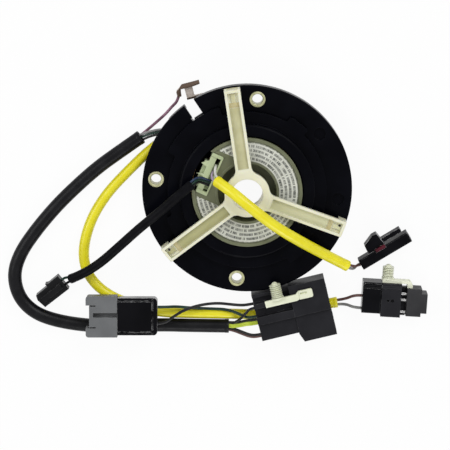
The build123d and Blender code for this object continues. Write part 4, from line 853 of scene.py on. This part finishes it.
def makeClipTongue():
    # the rounded latch on the end of the harness clip, with a slot in its top
    tongue = clipTongue
    bpy.ops.mesh.primitive_cube_add(size=0.001)
    bpy.ops.object.mode_set(mode="EDIT")
    bpy.ops.transform.resize(value=tongue["size"])
    end, top = tongue["size"][0] / 2000, tongue["size"][2] / 2000
    pick("EDGE", lambda middle: middle.x > end - closeTo and abs(middle.z) < closeTo)
    bpy.ops.mesh.bevel(offset=tongue["endRadius"] / 1000, segments=4)
    pick("EDGE", lambda middle: middle.z > top - closeTo)
    bpy.ops.mesh.bevel(offset=tongue["topRadius"] / 1000, segments=3)
    bpy.ops.object.mode_set(mode="OBJECT")
    latch = bpy.context.object
    along, side, long, wide, deep = tongue["slot"]
    bpy.ops.mesh.primitive_cube_add(size=0.001, location=(along / 1000, side / 1000, top))
    cutter = bpy.context.object
    bpy.ops.object.mode_set(mode="EDIT")
    bpy.ops.transform.resize(value=(long, wide, 2 * deep))
    bpy.ops.object.mode_set(mode="OBJECT")
    cutter.select_set(False)
    bpy.context.view_layer.objects.active = latch
    latch.select_set(True)
    modify("BOOLEAN", object=cutter, operation="DIFFERENCE", solver="EXACT")
    bpy.data.objects.remove(cutter)
    turn = Matrix.Rotation(math.radians(tongue["bearing"]), 3, "Z")
    corner = Vector((*tongue["corner"], 0)) + turn @ Vector((*tongue["middle"], 0))
    place = [c / 1000 for c in (corner.x, corner.y, tongue["foot"] + tongue["size"][2] / 2)]
    turned = (0, 0, math.radians(tongue["bearing"]))
    finishPiece("clipTongue", "housing", clipIvory, place, turned)


boreShelf = {  # millimetres
    "outer": 11.55,
    "inner": 9.4,
    "top": 12.95,
    "thick": 1.7,
    "softened": 0.3,
}


def makeBoreShelf():
    # the thin lip that carries the rotor's ledge further in, under the retainer's hub
    shelf = boreShelf
    bpy.ops.mesh.primitive_circle_add(vertices=72, radius=shelf["outer"] / 1000)
    bpy.ops.object.mode_set(mode="EDIT")
    bpy.ops.mesh.select_mode(type="EDGE")
    bpy.ops.mesh.select_all(action="SELECT")
    share = shelf["inner"] / shelf["outer"]
    push(0, 0, 0, grow=(share, share, 1))
    push(0, 0, -shelf["thick"])
    push(0, 0, 0, grow=(1 / share, 1 / share, 1))
    push(0, 0, shelf["thick"])
    bpy.ops.mesh.select_all(action="SELECT")
    bpy.ops.mesh.remove_doubles(threshold=0.00001)  # the ring ends where it starts
    bpy.ops.mesh.normals_make_consistent(inside=False)
    bpy.ops.object.mode_set(mode="OBJECT")
    modify("BEVEL", width=shelf["softened"] / 1000, segments=2, limit_method="ANGLE")
    finishPiece("boreShelf", "rotor", rotorOlive, (0, 0, shelf["top"] / 1000))


makeBoreShelf()
makeClipTongue()
print("small pieces made")

studio = {
    "floorSize": 8,
    "floorDrop": 0.0002,  # keeps it clear of what lies on it
    "paper": (0.9, 0.9, 0.9),
    "paperLight": (0.93, 0.93, 0.93),
    "floorWhite": 0.94,  # share of plain white in what the camera sees
    "sky": 0.35,  # strength, where the camera doesn't see it
    "aim": (-0.01, -0.02, 0),
    "lamps": {  # place, size, watts
        "keyLamp": ((0.55, 1.05, 1.15), 0.9, 11.0),
        "sideLamp": ((-1.25, 0.15, 1.0), 0.9, 8.0),
        "frontLamp": ((0.35, -1.35, 0.95), 0.8, 8.0),
    },
}


def makeFloor():
    drop = (0, 0, -studio["floorDrop"])
    bpy.ops.mesh.primitive_plane_add(size=studio["floorSize"], location=drop)
    floor = bpy.context.object
    floor.name = "benchTop"
    finish = Finish("benchTop")
    colour = finish.mix(finish.noise(6, 3), studio["paper"], studio["paperLight"])
    paper = finish.skin(Base_Color=colour, Roughness=0.75)
    white = finish.add("ShaderNodeEmission")
    share = finish.shownRays() * studio["floorWhite"]
    both = finish.add("ShaderNodeMixShader", {}, {0: share, 1: paper, 2: white})
    floor.data.materials.append(finish.show(both))


def makeLamp(name, place, size, watts):
    lamp = bpy.data.lights.new(name, "AREA")
    lamp.size = size
    lamp.energy = watts
    holder = bpy.data.objects.new(name, lamp)
    holder.location = place
    aim = Vector(studio["aim"]) - Vector(place)
    holder.rotation_euler = aim.to_track_quat("-Z", "Y").to_euler()
    bpy.context.scene.collection.objects.link(holder)


def makeSky():
    # plain white where it is seen, dimmer as light
    world = bpy.data.worlds.new("studio")
    bpy.context.scene.world = world
    world.use_nodes = True
    sky = Wiring(world.node_tree)
    sky.tree.nodes.clear()
    strength = studio["sky"] + (1 - studio["sky"]) * sky.shownRays()
    values = {"Color": (1, 1, 1, 1), "Strength": strength}
    sky.add("ShaderNodeOutputWorld", {}, {"Surface": sky.add("ShaderNodeBackground", {}, values)})


makeFloor()
for name, (place, size, watts) in studio["lamps"].items():
    makeLamp(name, place, size, watts)
makeSky()
bpy.context.scene.view_settings.view_transform = "Standard"
print("studio made")
